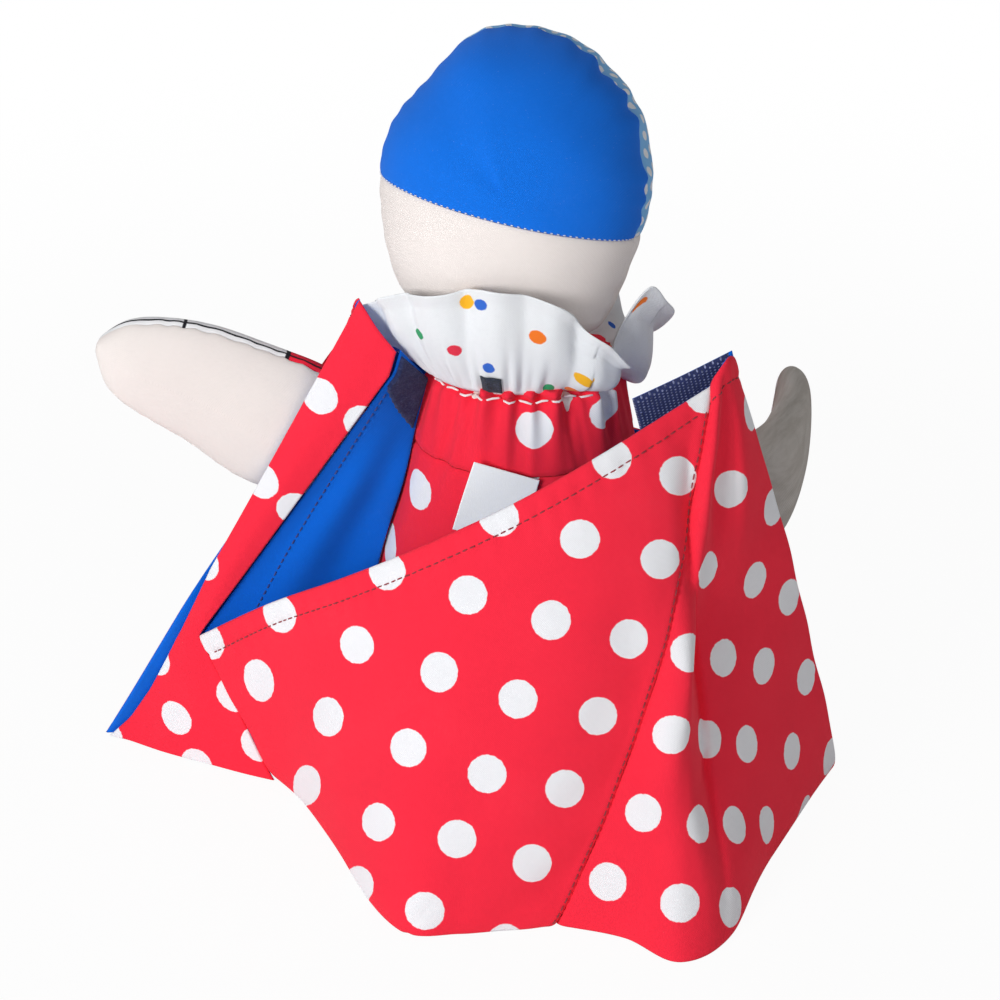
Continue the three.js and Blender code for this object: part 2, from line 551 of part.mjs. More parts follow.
// Sections of an arm: half circle at the root, then the widths given along the spine
function armSections(rootDirection, rootRadius, spine, halfWidths) {
  const sections = ARM_ROOT_RINGS.map((share) => ({
    middle: rootDirection.clone().multiplyScalar(rootRadius * share),
    halfWidth: rootRadius * Math.sqrt(1 - share * share),
  }));
  spine.forEach((middle, i) => sections.push({ middle, halfWidth: halfWidths[i] }));
  sections.forEach((section, i) => {
    const before = sections[Math.max(i - 1, 0)].middle;
    const after = sections[Math.min(i + 1, sections.length - 1)].middle;
    const along = after.clone().sub(before).normalize();
    const atRoot = i < ARM_ROOT_RINGS.length;
    section.across = atRoot ? V(0, -rootDirection.x, 0).cross(rootDirection).normalize() : V(0, 0, 1);
    section.across.addScaledVector(along, -section.across.dot(along)).normalize();
    section.thick = section.across.clone().cross(along).normalize();
    section.halfThickness = ARM_HALF_THICKNESS * Math.sqrt(section.halfWidth / Math.max(...halfWidths));
  });
  return sections;
}

// One arm form: a full ring round each section, or the half on one face of the seam
function armForm(sections, drawnIn, face) {
  const count = face === 0 ? ARM_SEGMENT_COUNT : ARM_SEGMENT_COUNT / 2 + 1;
  const ring = (section) => Array.from({ length: count }, (_, i) => {
    const angle = (2 * Math.PI * i) / ARM_SEGMENT_COUNT;
    const width = Math.max(section.halfWidth - drawnIn, ARM_LEAST_FILLING) * Math.cos(angle);
    const depth = Math.max(section.halfThickness - drawnIn, ARM_LEAST_FILLING) * Math.sin(angle);
    const offset = face === 0 ? depth : face * (depth + SEAM_GAP / 2);
    const point = section.middle.clone().addScaledVector(section.across, width);
    return point.addScaledVector(section.thick, offset);
  });
  const rings = sections.map(ring);
  const middle = (points) => points.reduce((sum, p) => sum.add(p), V(0, 0, 0)).divideScalar(points.length);
  return loft(rings, middle(rings[0]), middle(rings[rings.length - 1]));
}

function addArm(side, root, rootDirection, rootRadius, spine, halfWidths) {
  const arm = new THREE.Group();
  arm.position.copy(root);
  doll.add(arm);
  const sections = armSections(rootDirection, rootRadius, spine, halfWidths);
  const inside = sections.slice(1, -1);
  const hollow = toSolid(armForm(inside, COVER, 0));
  const backFace = side === 'left' ? -1 : 1;
  const facing = Math.sign(sections[ARM_ROOT_RINGS.length - 1].thick.y) * (side === 'left' ? 1 : -1);
  const half = (face) => toGeometry(toSolid(armForm(sections, 0, face * facing)).subtract(hollow));
  addPiece(`${side}_arm_back`, half(backFace), cloth(CREAM), arm);
  addPiece(`${side}_arm_front`, half(-backFace), cloth(COLLAR_WHITE), arm);
  addPiece(`${side}_arm_stuffing`, armForm(inside, COVER + LAYER_GAP, 0), cloth(STUFFING_WHITE, 1), arm);
}

function addArms() {
  const leftTouch = torsoPoint(LEFT_ARM_ROOT_HEIGHT, 180, SEAT_GAP + LEFT_ARM_ROOT_RADIUS);
  const leftDirection = LEFT_ARM_SPINE[0].clone().normalize();
  addArm('left', leftTouch, leftDirection, LEFT_ARM_ROOT_RADIUS, LEFT_ARM_SPINE, LEFT_ARM_HALF_WIDTHS);
  const rightReach = SEAT_GAP + RIGHT_ARM_ROOT_RADIUS - RIGHT_ARM_NESTLE;
  const rightTouch = torsoPoint(RIGHT_ARM_ROOT_HEIGHT, 0, rightReach);
  const turn = THREE.MathUtils.degToRad(RIGHT_ARM_ROOT_TURN);
  const rightDirection = V(Math.cos(turn), Math.sin(turn), 0);
  addArm('right', rightTouch, rightDirection, RIGHT_ARM_ROOT_RADIUS, RIGHT_ARM_SPINE, RIGHT_ARM_HALF_WIDTHS);
}

// Tunic

// Grid of points of a panel: smooth curves through its stations, straight lines plus a bulge down
function panelGrid(stations) {
  const curve = (key) => new THREE.CatmullRomCurve3(stations.map((s) => s[key]), false, 'catmullrom', 0.5);
  const [tops, hems, bulges] = ['top', 'hem', 'bulge'].map(curve);
  const columns = (stations.length - 1) * STATION_STEP_COUNT;
  const column = (c) => [tops, hems, bulges].map((line) => line.getPoint(c / columns));
  return Array.from({ length: PANEL_ROW_COUNT + 1 }, (_, r) => {
    const down = r / PANEL_ROW_COUNT;
    return Array.from({ length: columns + 1 }, (__, c) => {
      const [top, hem, bulge] = column(c);
      return top.lerp(hem, down).addScaledVector(bulge, 4 * down * (1 - down));
    });
  });
}

// The left panel runs from its side edge across to the back opening, and below that to the centre back
function leftPanelGrid() {
  const rows = ROW_COUNT_BESIDE_OPENING + ROW_COUNT_BELOW_OPENING;
  return Array.from({ length: rows + 1 }, (_, r) => {
    const down = r / rows;
    const left = LEFT_EDGE.top.clone().lerp(LEFT_EDGE.hem, down);
    left.addScaledVector(LEFT_EDGE.bulge, 4 * down * (1 - down));
    const below = r - ROW_COUNT_BESIDE_OPENING;
    const right = below > 0
      ? OPENING_FOOT.clone().lerp(CENTRE_BACK_HEM, below / ROW_COUNT_BELOW_OPENING)
      : OPENING_TOP.clone().lerp(OPENING_FOOT, r / ROW_COUNT_BESIDE_OPENING);
    const shares = Array.from({ length: LEFT_COLUMN_COUNT + 1 }, (__, c) => c / LEFT_COLUMN_COUNT);
    return shares.map((share) => left.clone().lerp(right, share));
  });
}

// Panels side by side share their seam column, so that normals run on across the seam
function joinGrids(grids) {
  return grids[0].map((row, r) => grids.flatMap((grid, i) => (i === 0 ? grid[r] : grid[r].slice(1))));
}

// Normals of a run of panels, level along the hem, with the ends' own directions
function clothNormals(grid, firstEdge, lastEdge) {
  const normals = gridNormals(grid);
  const last = grid[0].length - 1;
  normals.forEach((row, r) => {
    if (firstEdge) {
      row[0] = firstEdge.clone();
    }
    if (lastEdge) {
      row[last] = lastEdge.clone();
    }
    if (r === normals.length - 1) {
      row.forEach((n) => n.setZ(0).normalize());
    }
  });
  return normals;
}

// The seam columns of a panel drawn back by half the seam gap
function cutPanel(grid, normals, first, last) {
  const cells = grid.map((row) => row.slice(first, last + 1).map((p) => p.clone()));
  const drawBack = (row, edge, inner) => {
    const step = row[inner].clone().sub(row[edge]);
    row[edge].addScaledVector(step.normalize(), SEAM_GAP / 2);
  };
  cells.forEach((row) => {
    drawBack(row, 0, 1);
    drawBack(row, row.length - 1, row.length - 2);
  });
  return { cells, directions: normals.map((row) => row.slice(first, last + 1)) };
}

const HALF_LAYER_GAP = LAYER_GAP / 2;

function addTunicPanel(name, grid, normals, first, last) {
  const { cells, directions } = cutPanel(grid, normals, first, last);
  const outer = clothSheet(cells, directions, HALF_LAYER_GAP, HALF_LAYER_GAP + COTTON);
  const lining = clothSheet(cells, directions, -HALF_LAYER_GAP - COTTON, -HALF_LAYER_GAP);
  addPiece(`tunic_${name}_panel`, outer, cloth(DOT_RED));
  addPiece(`tunic_${name}_lining`, lining, cloth(LINING_BLUE));
}

function addTunic() {
  const leftGrid = leftPanelGrid();
  const leftNormals = clothNormals(leftGrid, SIDE_EDGE_LEFT, null);
  for (let r = ROW_COUNT_BESIDE_OPENING; r < leftGrid.length; r += 1) {
    leftNormals[r][LEFT_COLUMN_COUNT] = CENTRE_BACK_OUTWARD.clone();
  }
  addTunicPanel('left', leftGrid, leftNormals, 0, LEFT_COLUMN_COUNT);
  const backGrid = panelGrid(BACK_STATIONS);
  const seam = backGrid[0].length - 1;
  const rightGrid = joinGrids([backGrid, panelGrid(SIDE_STATIONS)]);
  const rightNormals = clothNormals(rightGrid, CENTRE_BACK_OUTWARD, SIDE_EDGE_RIGHT);
  addTunicPanel('back', rightGrid, rightNormals, 0, seam);
  addTunicPanel('side', rightGrid, rightNormals, seam, rightGrid[0].length - 1);
  const frontGrid = panelGrid(FRONT_STATIONS).map((row) => row.reverse());
  const frontNormals = clothNormals(frontGrid, null, SIDE_EDGE_LEFT);
  addTunicPanel('front', frontGrid, frontNormals, 0, frontGrid[0].length - 1);
}

function addShoulderStrap() {
  const path = new THREE.CatmullRomCurve3(STRAP_PATH);
  const grid = [-0.5, 0.5].map((share) => Array.from({ length: STRAP_STEP_COUNT + 1 }, (_, i) => {
    const along = path.getTangent(i / STRAP_STEP_COUNT);
    const across = V(1, 0, 0).addScaledVector(along, -along.x).normalize();
    return path.getPoint(i / STRAP_STEP_COUNT).addScaledVector(across, STRAP_WIDTH * share);
  }));
  const strap = clothSheet(grid, gridNormals(grid), -STRAP_THICKNESS / 2, STRAP_THICKNESS / 2);
  addPiece('tunic_shoulder_strap', strap, cloth(DOT_RED));
}

// Back closure

// Point on the underlap: along the open edge from the neck down, across towards the body
function underlapPoint(along, across) {
  const outer = OPENING_TOP.clone().lerp(OPENING_FOOT, along).add(UNDERLAP_SET_BACK);
  const height = THREE.MathUtils.lerp(UNDERLAP_TOP_HEIGHT, UNDERLAP_FOOT_HEIGHT, along);
  const inner = torsoPoint(height, UNDERLAP_SIDE_ANGLE, UNDERLAP_TORSO_GAP);
  return outer.lerp(inner, across);
}

function addUnderlap() {
  const patch = (alongs, acrosses) => alongs.map((a) => acrosses.map((c) => underlapPoint(a, c)));
  const even = (from, to, steps) => {
    return Array.from({ length: steps + 1 }, (_, i) => THREE.MathUtils.lerp(from, to, i / steps));
  };
  const grid = patch(even(0, 1, UNDERLAP_ROW_COUNT), even(0, 1, UNDERLAP_COLUMN_COUNT));
  addPiece('underlap', clothSheet(grid, gridNormals(grid), -COTTON / 2, COTTON / 2), cloth(LINING_BLUE));
  const { across, along } = LOOP_TAPE_SPAN;
  const tapeGrid = patch(even(...along, UNDERLAP_ROW_COUNT / 2), even(...across, UNDERLAP_COLUMN_COUNT));
  const tapeBack = COTTON / 2 + 2 * LAYER_GAP;
  const tape = clothSheet(tapeGrid, gridNormals(tapeGrid), tapeBack, tapeBack + TAPE_THICKNESS);
  addPiece('loop_tape', tape, cloth(NAVY));
}

// The tab lies folded back behind the tunic's edge; its hook tape faces the camera
function addTab() {
  const tab = new THREE.Group();
  tab.position.copy(TAB_FOLD_TOP);
  doll.add(tab);
  const corner = (along, down) => TAB_ALONG.clone().multiplyScalar(along).addScaledVector(TAB_FOLD, down);
  const patch = (margin, fromFold) => [margin, TAB_WIDTH - margin].map((down) => {
    return [TAB_LENGTH - margin, fromFold].map((along) => corner(along, down));
  });
  const strapGrid = patch(0, COTTON);
  const tapeGrid = patch(HOOK_TAPE_MARGIN, HOOK_TAPE_FROM_FOLD);
  const strap = clothSheet(strapGrid, gridNormals(strapGrid), -COTTON, COTTON);
  addPiece('tab_strap', strap, cloth(LINING_BLUE), tab);
  const facing = Math.sign(-gridNormals(tapeGrid)[0][0].y);
  const tapeNormals = gridNormals(tapeGrid).map((row) => row.map((n) => n.multiplyScalar(facing)));
  const tapeBack = COTTON + LAYER_GAP;
  const tape = clothSheet(tapeGrid, tapeNormals, tapeBack, tapeBack + TAPE_THICKNESS);
  addPiece('hook_tape', tape, cloth(NAVY), tab);
}

function addCareLabel() {
  const label = new THREE.BoxGeometry(LABEL_WIDTH, LABEL_THICKNESS, LABEL_LENGTH);
  label.translate(0, 0, -LABEL_LENGTH / 2);
  label.rotateX(THREE.MathUtils.degToRad(-LABEL_STAND_OFF));
  label.rotateY(THREE.MathUtils.degToRad(LABEL_TILT));
  const seamDepth = torsoSize(YOKE_SEAM_HEIGHT).halfDepth;
  const lift = (LABEL_WIDTH / 2) * Math.sin(THREE.MathUtils.degToRad(LABEL_TILT));
  const mesh = addPiece('care_label', welded(label), cloth(COLLAR_WHITE));
  mesh.position.set(LABEL_MIDDLE_X, -seamDepth - LAYER_GAP - LABEL_THICKNESS / 2, YOKE_SEAM_HEIGHT + lift);
}

addBody();
addGatheringThread();
addCollar();
addCareLabel();
addHead();
addNeck();
addArms();
addTunic();
addShoulderStrap();
addUnderlap();
addTab();

export default doll;
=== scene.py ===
"""Looks of a cloth clown doll seen from behind: stuffed head in a blue cap, dotted ruffle collar, gathered
red body, mitten arms, and a lined dotted tunic that hangs open at the back.
Shapes are worked out in millimetres, in the frame's own axes, and put into meshes in metres."""
import math

import bmesh
import bpy
import numpy as np
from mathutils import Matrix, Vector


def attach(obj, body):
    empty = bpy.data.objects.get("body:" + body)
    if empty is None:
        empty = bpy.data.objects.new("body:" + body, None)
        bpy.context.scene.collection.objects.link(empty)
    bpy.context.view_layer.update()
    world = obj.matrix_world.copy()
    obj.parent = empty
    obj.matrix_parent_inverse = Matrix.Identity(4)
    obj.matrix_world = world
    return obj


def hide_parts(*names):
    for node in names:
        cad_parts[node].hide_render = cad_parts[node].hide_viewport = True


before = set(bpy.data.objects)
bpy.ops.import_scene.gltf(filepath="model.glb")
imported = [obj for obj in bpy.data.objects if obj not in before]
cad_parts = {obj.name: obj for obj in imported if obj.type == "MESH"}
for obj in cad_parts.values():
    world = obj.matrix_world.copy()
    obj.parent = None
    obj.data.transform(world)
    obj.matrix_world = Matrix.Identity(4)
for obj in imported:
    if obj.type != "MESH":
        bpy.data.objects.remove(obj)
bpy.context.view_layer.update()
MM = 0.001
PI = math.pi


# Materials

def rgb(red, green, blue):
    """Linear colour from sRGB numbers of 0 to 255."""
    share = np.array([red, green, blue]) / 255
    linear = np.where(share <= 0.04045, share / 12.92, ((share + 0.055) / 1.055) ** 2.4)
    return (*linear.tolist(), 1.0)


class Wire:
    """A socket in a material's nodes. Arithmetic on wires and numbers adds Math nodes."""

    def __init__(self, tree, socket=None):
        self.tree = tree
        self.socket = socket

    def node(self, kind, settings=None, inputs=None, output=0):
        """A new node: its settings first, then a number, colour or wire for each input named."""
        made = self.tree.nodes.new(kind)
        for key, value in (settings or {}).items():
            setattr(made, key, value)
        for key, value in (inputs or {}).items():
            if isinstance(value, Wire):
                self.tree.links.new(value.socket, made.inputs[key])
            else:
                made.inputs[key].default_value = value
        return Wire(self.tree, made.outputs[output])

    def math(self, operation, *others):
        """A Math node on this wire and the others."""
        return self.node("ShaderNodeMath", {"operation": operation}, dict(enumerate((self, *others))))

    def __add__(self, other):
        return self.math("ADD", other)

    __radd__ = __add__

    def __mul__(self, other):
        return self.math("MULTIPLY", other)

    __rmul__ = __mul__

    def __sub__(self, other):
        return self.math("SUBTRACT", other)

    def __rsub__(self, other):
        return self * -1.0 + other

    def __truediv__(self, other):
        return self.math("DIVIDE", other)

    def ramp(self, low, high):
        """Smooth step: 0 at low and 1 at high, also where low is the larger."""
        ends = {"Value": self, "From Min": low, "From Max": high}
        return self.node("ShaderNodeMapRange", {"interpolation_type": "SMOOTHSTEP"}, ends)

    def tint(self, below, above):
        """Colour that goes from below to above as this wire goes from 0 to 1."""
        return self.node("ShaderNodeMix", {"data_type": "RGBA"}, {0: self, 6: below, 7: above}, 2)


def new_finish(name):
    """Material with its starting wire."""
    material = bpy.data.materials.new(name)
    material.use_nodes = True
    return material, Wire(material.node_tree)


def flat_place(wire):
    """Place on the flat cloth in mm, as a wire for each direction and the vector itself."""
    flat = wire.node("ShaderNodeUVMap", {"uv_map": "flat"})
    return [wire.node("ShaderNodeSeparateXYZ", None, {0: flat}, k) for k in (0, 1)] + [flat]


def noise(wire, vector, scale, detail=3.0, rough=0.6):
    """Noise of about 0 to 1 at a scale in waves per unit of the vector."""
    inputs = {"Vector": vector, "Scale": scale, "Detail": detail, "Roughness": rough}
    return wire.node("ShaderNodeTexNoise", {"noise_dimensions": "3D"}, inputs)


SHEEN_ROUGHNESS, CLOTH_SPECULAR = 0.6, 0.12


def dress(material, wire, colour, roughness, height, depth_mm, sheen):
    """Feeds the shader: colour, roughness, a bump whose height of 1 is depth_mm, and one sheen all over."""
    shader = material.node_tree.nodes["Principled BSDF"]
    bump = wire.node("ShaderNodeBump", None, {"Strength": 1.0, "Distance": depth_mm * MM, "Height": height})
    for key, value in (("Base Color", colour), ("Roughness", roughness), ("Normal", bump)):
        material.node_tree.links.new(value.socket, shader.inputs[key])
    shader.inputs["Sheen Weight"].default_value = sheen
    shader.inputs["Sheen Roughness"].default_value = SHEEN_ROUGHNESS
    shader.inputs["Specular IOR Level"].default_value = CLOTH_SPECULAR
    return material


THREAD_PITCH, CRUMPLE = 0.75, 7.0
WORN_SHADE, LINT_WHITE, THREAD_LIGHT = (0.78, 0.78, 0.80, 1), (0.95, 0.96, 1.0, 1), (0.8, 0.8, 0.85, 1)


def weave(x, y):
    """Plain weave from 0 to 1: warp and weft waves that pass over each other in turn."""
    warp = (x * (2 * PI / THREAD_PITCH)).math("SINE")
    weft = (y * (2 * PI / THREAD_PITCH)).math("SINE")
    return warp * weft * 0.5 + 0.5


def cotton(name, colour_of, weave_depth=0.10, sheen=0.04, fuzz=0.05, crumple=0.0):
    """Woven cotton: colour_of paints its print from the flat place; weave, slubs, lint and faint wear shade
    it, and threads, slubs and soft crumples raise it."""
    material, wire = new_finish(name)
    x, y, flat = flat_place(wire)
    threads = weave(x, y)
    slubs = noise(wire, flat, 0.55, 4.0, 0.65)
    patches = noise(wire, flat, 0.035, 2.0, 0.5)
    lint = noise(wire, flat, 1.7, 2.0, 0.7).ramp(0.66, 0.78)
    crumples = noise(wire, flat, 0.05, 3.0, 0.5)
    painted = colour_of(wire, x, y, flat)
    shade = (threads - 0.5) * 0.05 + (slubs - 0.5) * 0.12 + (patches - 0.5) * 0.14
    worn = {0: (0.0 - shade).ramp(-0.02, 0.2), 6: painted, 7: WORN_SHADE}
    darker = wire.node("ShaderNodeMix", {"data_type": "RGBA", "blend_type": "MULTIPLY"}, worn, 2)
    lit = (shade.ramp(0.0, 0.25) * 0.08 + lint * fuzz).tint(darker, LINT_WHITE)
    height = threads * 0.7 + slubs * 0.6 + crumples * crumple
    return dress(material, wire, lit, slubs * 0.12 + 0.82, height, weave_depth, sheen)


def one(wire, colour):
    """The same colour all over, as a wire."""
    made = wire.node("ShaderNodeRGB")
    made.socket.default_value = colour
    return made


def plain(colour):
    """Paint of one colour."""
    return lambda wire, x, y, flat: one(wire, colour)


def darkened(colour, share):
    """A colour at a share of its brightness."""
    return (*(v * share for v in colour[:3]), 1)


def object_place(wire):
    """Place on the piece itself in metres, as a vector."""
    return wire.node("ShaderNodeTexCoord", output=3)


RED = rgb(246, 42, 66)
DOT_WHITE = rgb(238, 239, 243)
LINING_BLUE = rgb(3, 104, 220)
CAP_BLUE = rgb(10, 112, 226)
CREAM = rgb(238, 230, 226)
# Painted shade for the right mitten's back: the paler and the deeper grey of its streaks.
SHADE_PAINT_PALE, SHADE_PAINT_DEEP = rgb(196, 190, 184), rgb(142, 132, 120)
COLLAR_WHITE = rgb(233, 236, 239)
FIBRE_WHITE = rgb(244, 242, 236)
GLOVE_WHITE = rgb(240, 240, 242)
NAVY, LOOP_LIGHT, HOOK_LIGHT = rgb(44, 54, 104), rgb(120, 130, 178), rgb(160, 168, 212)
CHARCOAL = rgb(58, 64, 72)
SKY = rgb(132, 190, 240)
INK, CHEEK_PINK, EYE_WHITE = rgb(32, 32, 38), rgb(244, 160, 160), rgb(246, 247, 250)
DOT_RADIUS, DOT_RAGGED, DOT_BLUR = 6.6, 0.9, 0.2


def ragged_edge(wire, flat):
    """Unevenness of a printed dot's edge, in mm."""
    return (noise(wire, flat, 0.5, 3.0) - 0.5) * DOT_RAGGED


def dot_mask(distance, radius):
    """1 inside a printed dot and 0 outside, from the distance to its middle in mm."""
    return distance.ramp(radius + DOT_BLUR, radius - DOT_BLUR)


def lattice_dots(step_a, step_b, origin, ground=RED, radius=DOT_RADIUS):
    """Paint: dots at every whole number of two steps in mm from an origin on the flat cloth.
    The place is written in steps, the nearest whole steps taken off, and the rest measured in mm."""
    (ax, ay), (bx, by) = step_a, step_b
    area = ax * by - ay * bx

    def colour_of(wire, x, y, flat):
        """White within a dot's radius of the nearest crossing of the steps."""
        across, along = x - origin[0], y - origin[1]
        s = across * (by / area) - along * (bx / area)
        t = along * (ax / area) - across * (ay / area)
        s = s - s.math("ROUND")
        t = t - t.math("ROUND")
        dx, dy = s * ax + t * bx, s * ay + t * by
        distance = (dx * dx + dy * dy).math("SQRT") + ragged_edge(wire, flat)
        return dot_mask(distance, radius).tint(ground, DOT_WHITE)

    return colour_of


def spots(ground, *groups):
    """Paint: groups of round spots (colour, radius, places in mm) on the flat cloth; each group's wire is the
    distance to its nearest place."""
    def colour_of(wire, x, y, flat):
        """Each group painted over the ones before it."""
        painted = one(wire, ground)
        ragged = ragged_edge(wire, flat)
        for colour, radius, places in groups:
            nearest = None
            for place in places:
                ends = {0: flat, 1: (*place, 0.0)}
                gap = wire.node("ShaderNodeVectorMath", {"operation": "DISTANCE"}, ends, 1)
                nearest = gap if nearest is None else nearest.math("MINIMUM", gap)
            painted = dot_mask(nearest + ragged, radius).tint(painted, colour)
        return painted

    return colour_of


def dotted_red(name, places):
    """Crumpled red cotton with white dots at set places on the flat cloth."""
    return cotton(name, spots(RED, (DOT_WHITE, DOT_RADIUS, places)), crumple=CRUMPLE)


INK_FROM_SEAM, CUFF_AT, FINGER_FOLD_AT = 3.2, 58.0, 92.0


def glove_print(wire, x, y, flat):
    """Paint of an arm's front: white glove with an inked outline beside the seam, then a red sleeve.
    x runs along the arm from its root and y is the distance from the nearer seam, both in mm."""
    outline = (y - INK_FROM_SEAM).math("ABSOLUTE").ramp(0.95, 0.55)
    cuff = (x - CUFF_AT).math("ABSOLUTE").ramp(1.0, 0.6)
    fold = (x - FINGER_FOLD_AT).math("ABSOLUTE").ramp(0.8, 0.4) * y.ramp(9.0, 8.0)
    painted = x.ramp(CUFF_AT + 0.3, CUFF_AT - 0.3).tint(GLOVE_WHITE, RED)
    return outline.math("MAXIMUM", cuff).math("MAXIMUM", fold).tint(painted, INK)


def painted_shade_cream(wire, x, y, flat):
    """Painted shade on cream cloth, for an arm in shadow: grey streaks along the arm, darker towards its
    seams.
    """
    stretched = wire.node("ShaderNodeVectorMath", {"operation": "MULTIPLY"}, {0: flat, 1: (0.35, 1.4, 1.0)})
    streaks = noise(wire, stretched, 0.16, 4.0, 0.65).ramp(0.3, 0.7)
    return (streaks * 0.4 + y.ramp(9.0, 0.0) * 0.45).tint(SHADE_PAINT_PALE, SHADE_PAINT_DEEP)


def face_print(wire, x, y, flat):
    """Paint of a plain clown face on the flat front of the head: eyes, brows, cheeks, nose and a calm mouth,
    all ovals or parts of an oval's rim, in mm from the head's middle."""
    painted = one(wire, CREAM)

    def oval(px, py, half_wide, half_high):
        """Distance from an oval's middle, as a share of its half sizes."""
        dx, dy = (x - px) / half_wide, (y - py) / half_high
        return (dx * dx + dy * dy).math("SQRT")

    def rim(px, py, half_wide, half_high, width):
        """An oval's rim as a line."""
        return (oval(px, py, half_wide, half_high) - 1.0).math("ABSOLUTE").ramp(width, 0.05)

    for side in (-1, 1):
        painted = oval(side * 22, -31, 6.5, 5.5).ramp(1.05, 0.9).tint(painted, CHEEK_PINK)
        painted = oval(side * 13, -21.5, 4.6, 5.6).ramp(1.04, 0.97).tint(painted, EYE_WHITE)
        painted = oval(side * 12.6, -22.4, 2.2, 3.0).ramp(1.06, 0.94).tint(painted, INK)
        brow = rim(side * 13, -19.5, 6.6, 6.6, 0.11) * y.ramp(-16.5, -15.5)
        painted = brow.tint(painted, CAP_BLUE)
    mouth = rim(0, -30, 12, 9, 0.09) * y.ramp(-34.0, -35.2)
    painted = mouth.tint(painted, RED)
    return oval(0, -28, 4.4, 4.4).ramp(1.05, 0.95).tint(painted, RED)


def loop_pile(name, colour):
    """Loop tape: short tangled pile in tufts, lighter where loops catch the light."""
    material, wire = new_finish(name)
    flat = flat_place(wire)[-1]
    tangle = noise(wire, flat, 1.3, 5.0, 0.75)
    tufts = noise(wire, flat, 0.35, 2.0, 0.5)
    light = tangle.ramp(0.45, 0.8) * 0.4 + tufts.ramp(0.4, 0.8) * 0.12
    painted = light.tint(darkened(colour, 0.6), LOOP_LIGHT)
    return dress(material, wire, painted, tangle * 0.1 + 0.85, tangle + tufts, 0.6, 0.08)


HOOK_ROW, HOOK_PITCH = 1.5, 1.1


def hook_rows(name, colour):
    """Hook tape: rows of small stiff hooks on a woven ground, every other row set on by half a hook."""
    material, wire = new_finish(name)
    x, y, flat = flat_place(wire)
    rows = (x * (2 * PI / HOOK_ROW)).math("SINE") * 0.5 + 0.5
    hooks = (y * (2 * PI / HOOK_PITCH) + (x / HOOK_ROW).math("FLOOR") * PI).math("SINE") * 0.5 + 0.5
    tips = (rows * hooks).ramp(0.3, 0.7)
    grit = noise(wire, flat, 0.9, 3.0)
    light = tips * grit.ramp(0.25, 0.6) * 0.85 + (grit - 0.5) * 0.2
    painted = light.tint(darkened(colour, 0.8), HOOK_LIGHT)
    return dress(material, wire, painted, 0.75 - tips * 0.25, tips + grit * 0.2, 0.7, 0.1)


def thread_finish(name, colour):
    """Sewing thread: fine twist along the stitches."""
    material, wire = new_finish(name)
    grain = noise(wire, object_place(wire), 1500.0, 2.0)
    lit = (grain * 0.08).tint(colour, THREAD_LIGHT)
    return dress(material, wire, lit, grain * 0.2 + 0.6, grain, 0.05, 0.1)


def filling_finish(name, colour):
    """Loose fibre filling: soft tangled tufts."""
    material, wire = new_finish(name)
    tufts = noise(wire, object_place(wire), 260.0, 5.0, 0.7)
    shade = tufts.ramp(0.3, 0.7).tint(darkened(colour, 0.8), colour)
    return dress(material, wire, shade, tufts * 0.1 + 0.9, tufts, 1.0, 0.3)


# Shapes

def unit(vectors):
    """Vectors scaled to a length of 1."""
    return vectors / np.maximum(np.linalg.norm(vectors, axis=-1, keepdims=True), 1e-9)


def through(points, share):
    """Smooth curve through points, at shares of 0 to 1: a Catmull-Rom cubic between each two."""
    points = np.asarray(points, float)
    ends = np.vstack([2 * points[0] - points[1], points, 2 * points[-1] - points[-2]])
    place = np.clip(share, 0, 1) * (len(points) - 1)
    first = np.minimum(place.astype(int), len(points) - 2)
    f = (place - first)[..., None]
    a, b, c, d = (ends[first + k] for k in range(4))
    return b + 0.5 * f * (c - a + f * (2 * a - 5 * b + 4 * c - d + f * (3 * b - a - 3 * c + d)))


def hump(x, middle, width):
    """Bell curve of height 1."""
    return np.exp(-(((x - middle) / width) ** 2))


def step(low, high, x):
    """Smooth step from 0 at low to 1 at high."""
    t = np.clip((x - low) / (high - low), 0, 1)
    return t * t * (3 - 2 * t)


def edged(count, fine=(0.0, 0.0015, 0.004, 0.008, 0.014)):
    """Shares from 0 to 1 that lie closer together at both ends, for rounded edges."""
    fine = np.array(fine)
    return np.concatenate([fine, np.linspace(0.022, 0.978, count), 1 - fine[::-1]])


def ripple(x, y, seed):
    """Slow cloth waves: five sine waves of set directions and lengths in mm; about -1 to 1."""
    draw = np.random.default_rng(seed)
    angle, length, phase = draw.uniform(0, PI, 5), draw.uniform(28, 75, 5), draw.uniform(0, 2 * PI, 5)
    waves = [np.sin(2 * PI * (x * np.cos(a) + y * np.sin(a)) / n + p)
             for a, n, p in zip(angle, length, phase)]
    return sum(waves) / 3.0


def normals_of(grid, ring=False):
    """Unit normals of a grid: the way down its columns crossed with the way along its rows."""
    across = np.roll(grid, -1, 1) - np.roll(grid, 1, 1) if ring else np.gradient(grid, axis=1)
    return unit(np.cross(np.gradient(grid, axis=0), across))


def lengths(grid, axis):
    """Distance along a grid's rows (axis 1) or columns (axis 0) from its first point."""
    steps = np.linalg.norm(np.diff(grid, axis=axis), axis=-1)
    start = np.zeros_like(np.take(steps, [0], axis=axis))
    return np.concatenate([start, np.cumsum(steps, axis=axis)], axis=axis)


def edge_distance(grid, ring=False):
    """Distance of each point from the nearest edge of the cloth, in mm along its rows and columns."""
    down = lengths(grid, 0)
    near = np.minimum(down, down[-1:] - down)
    if ring:
        return near
    along = lengths(grid, 1)
    return np.minimum(near, np.minimum(along, along[:, -1:] - along))


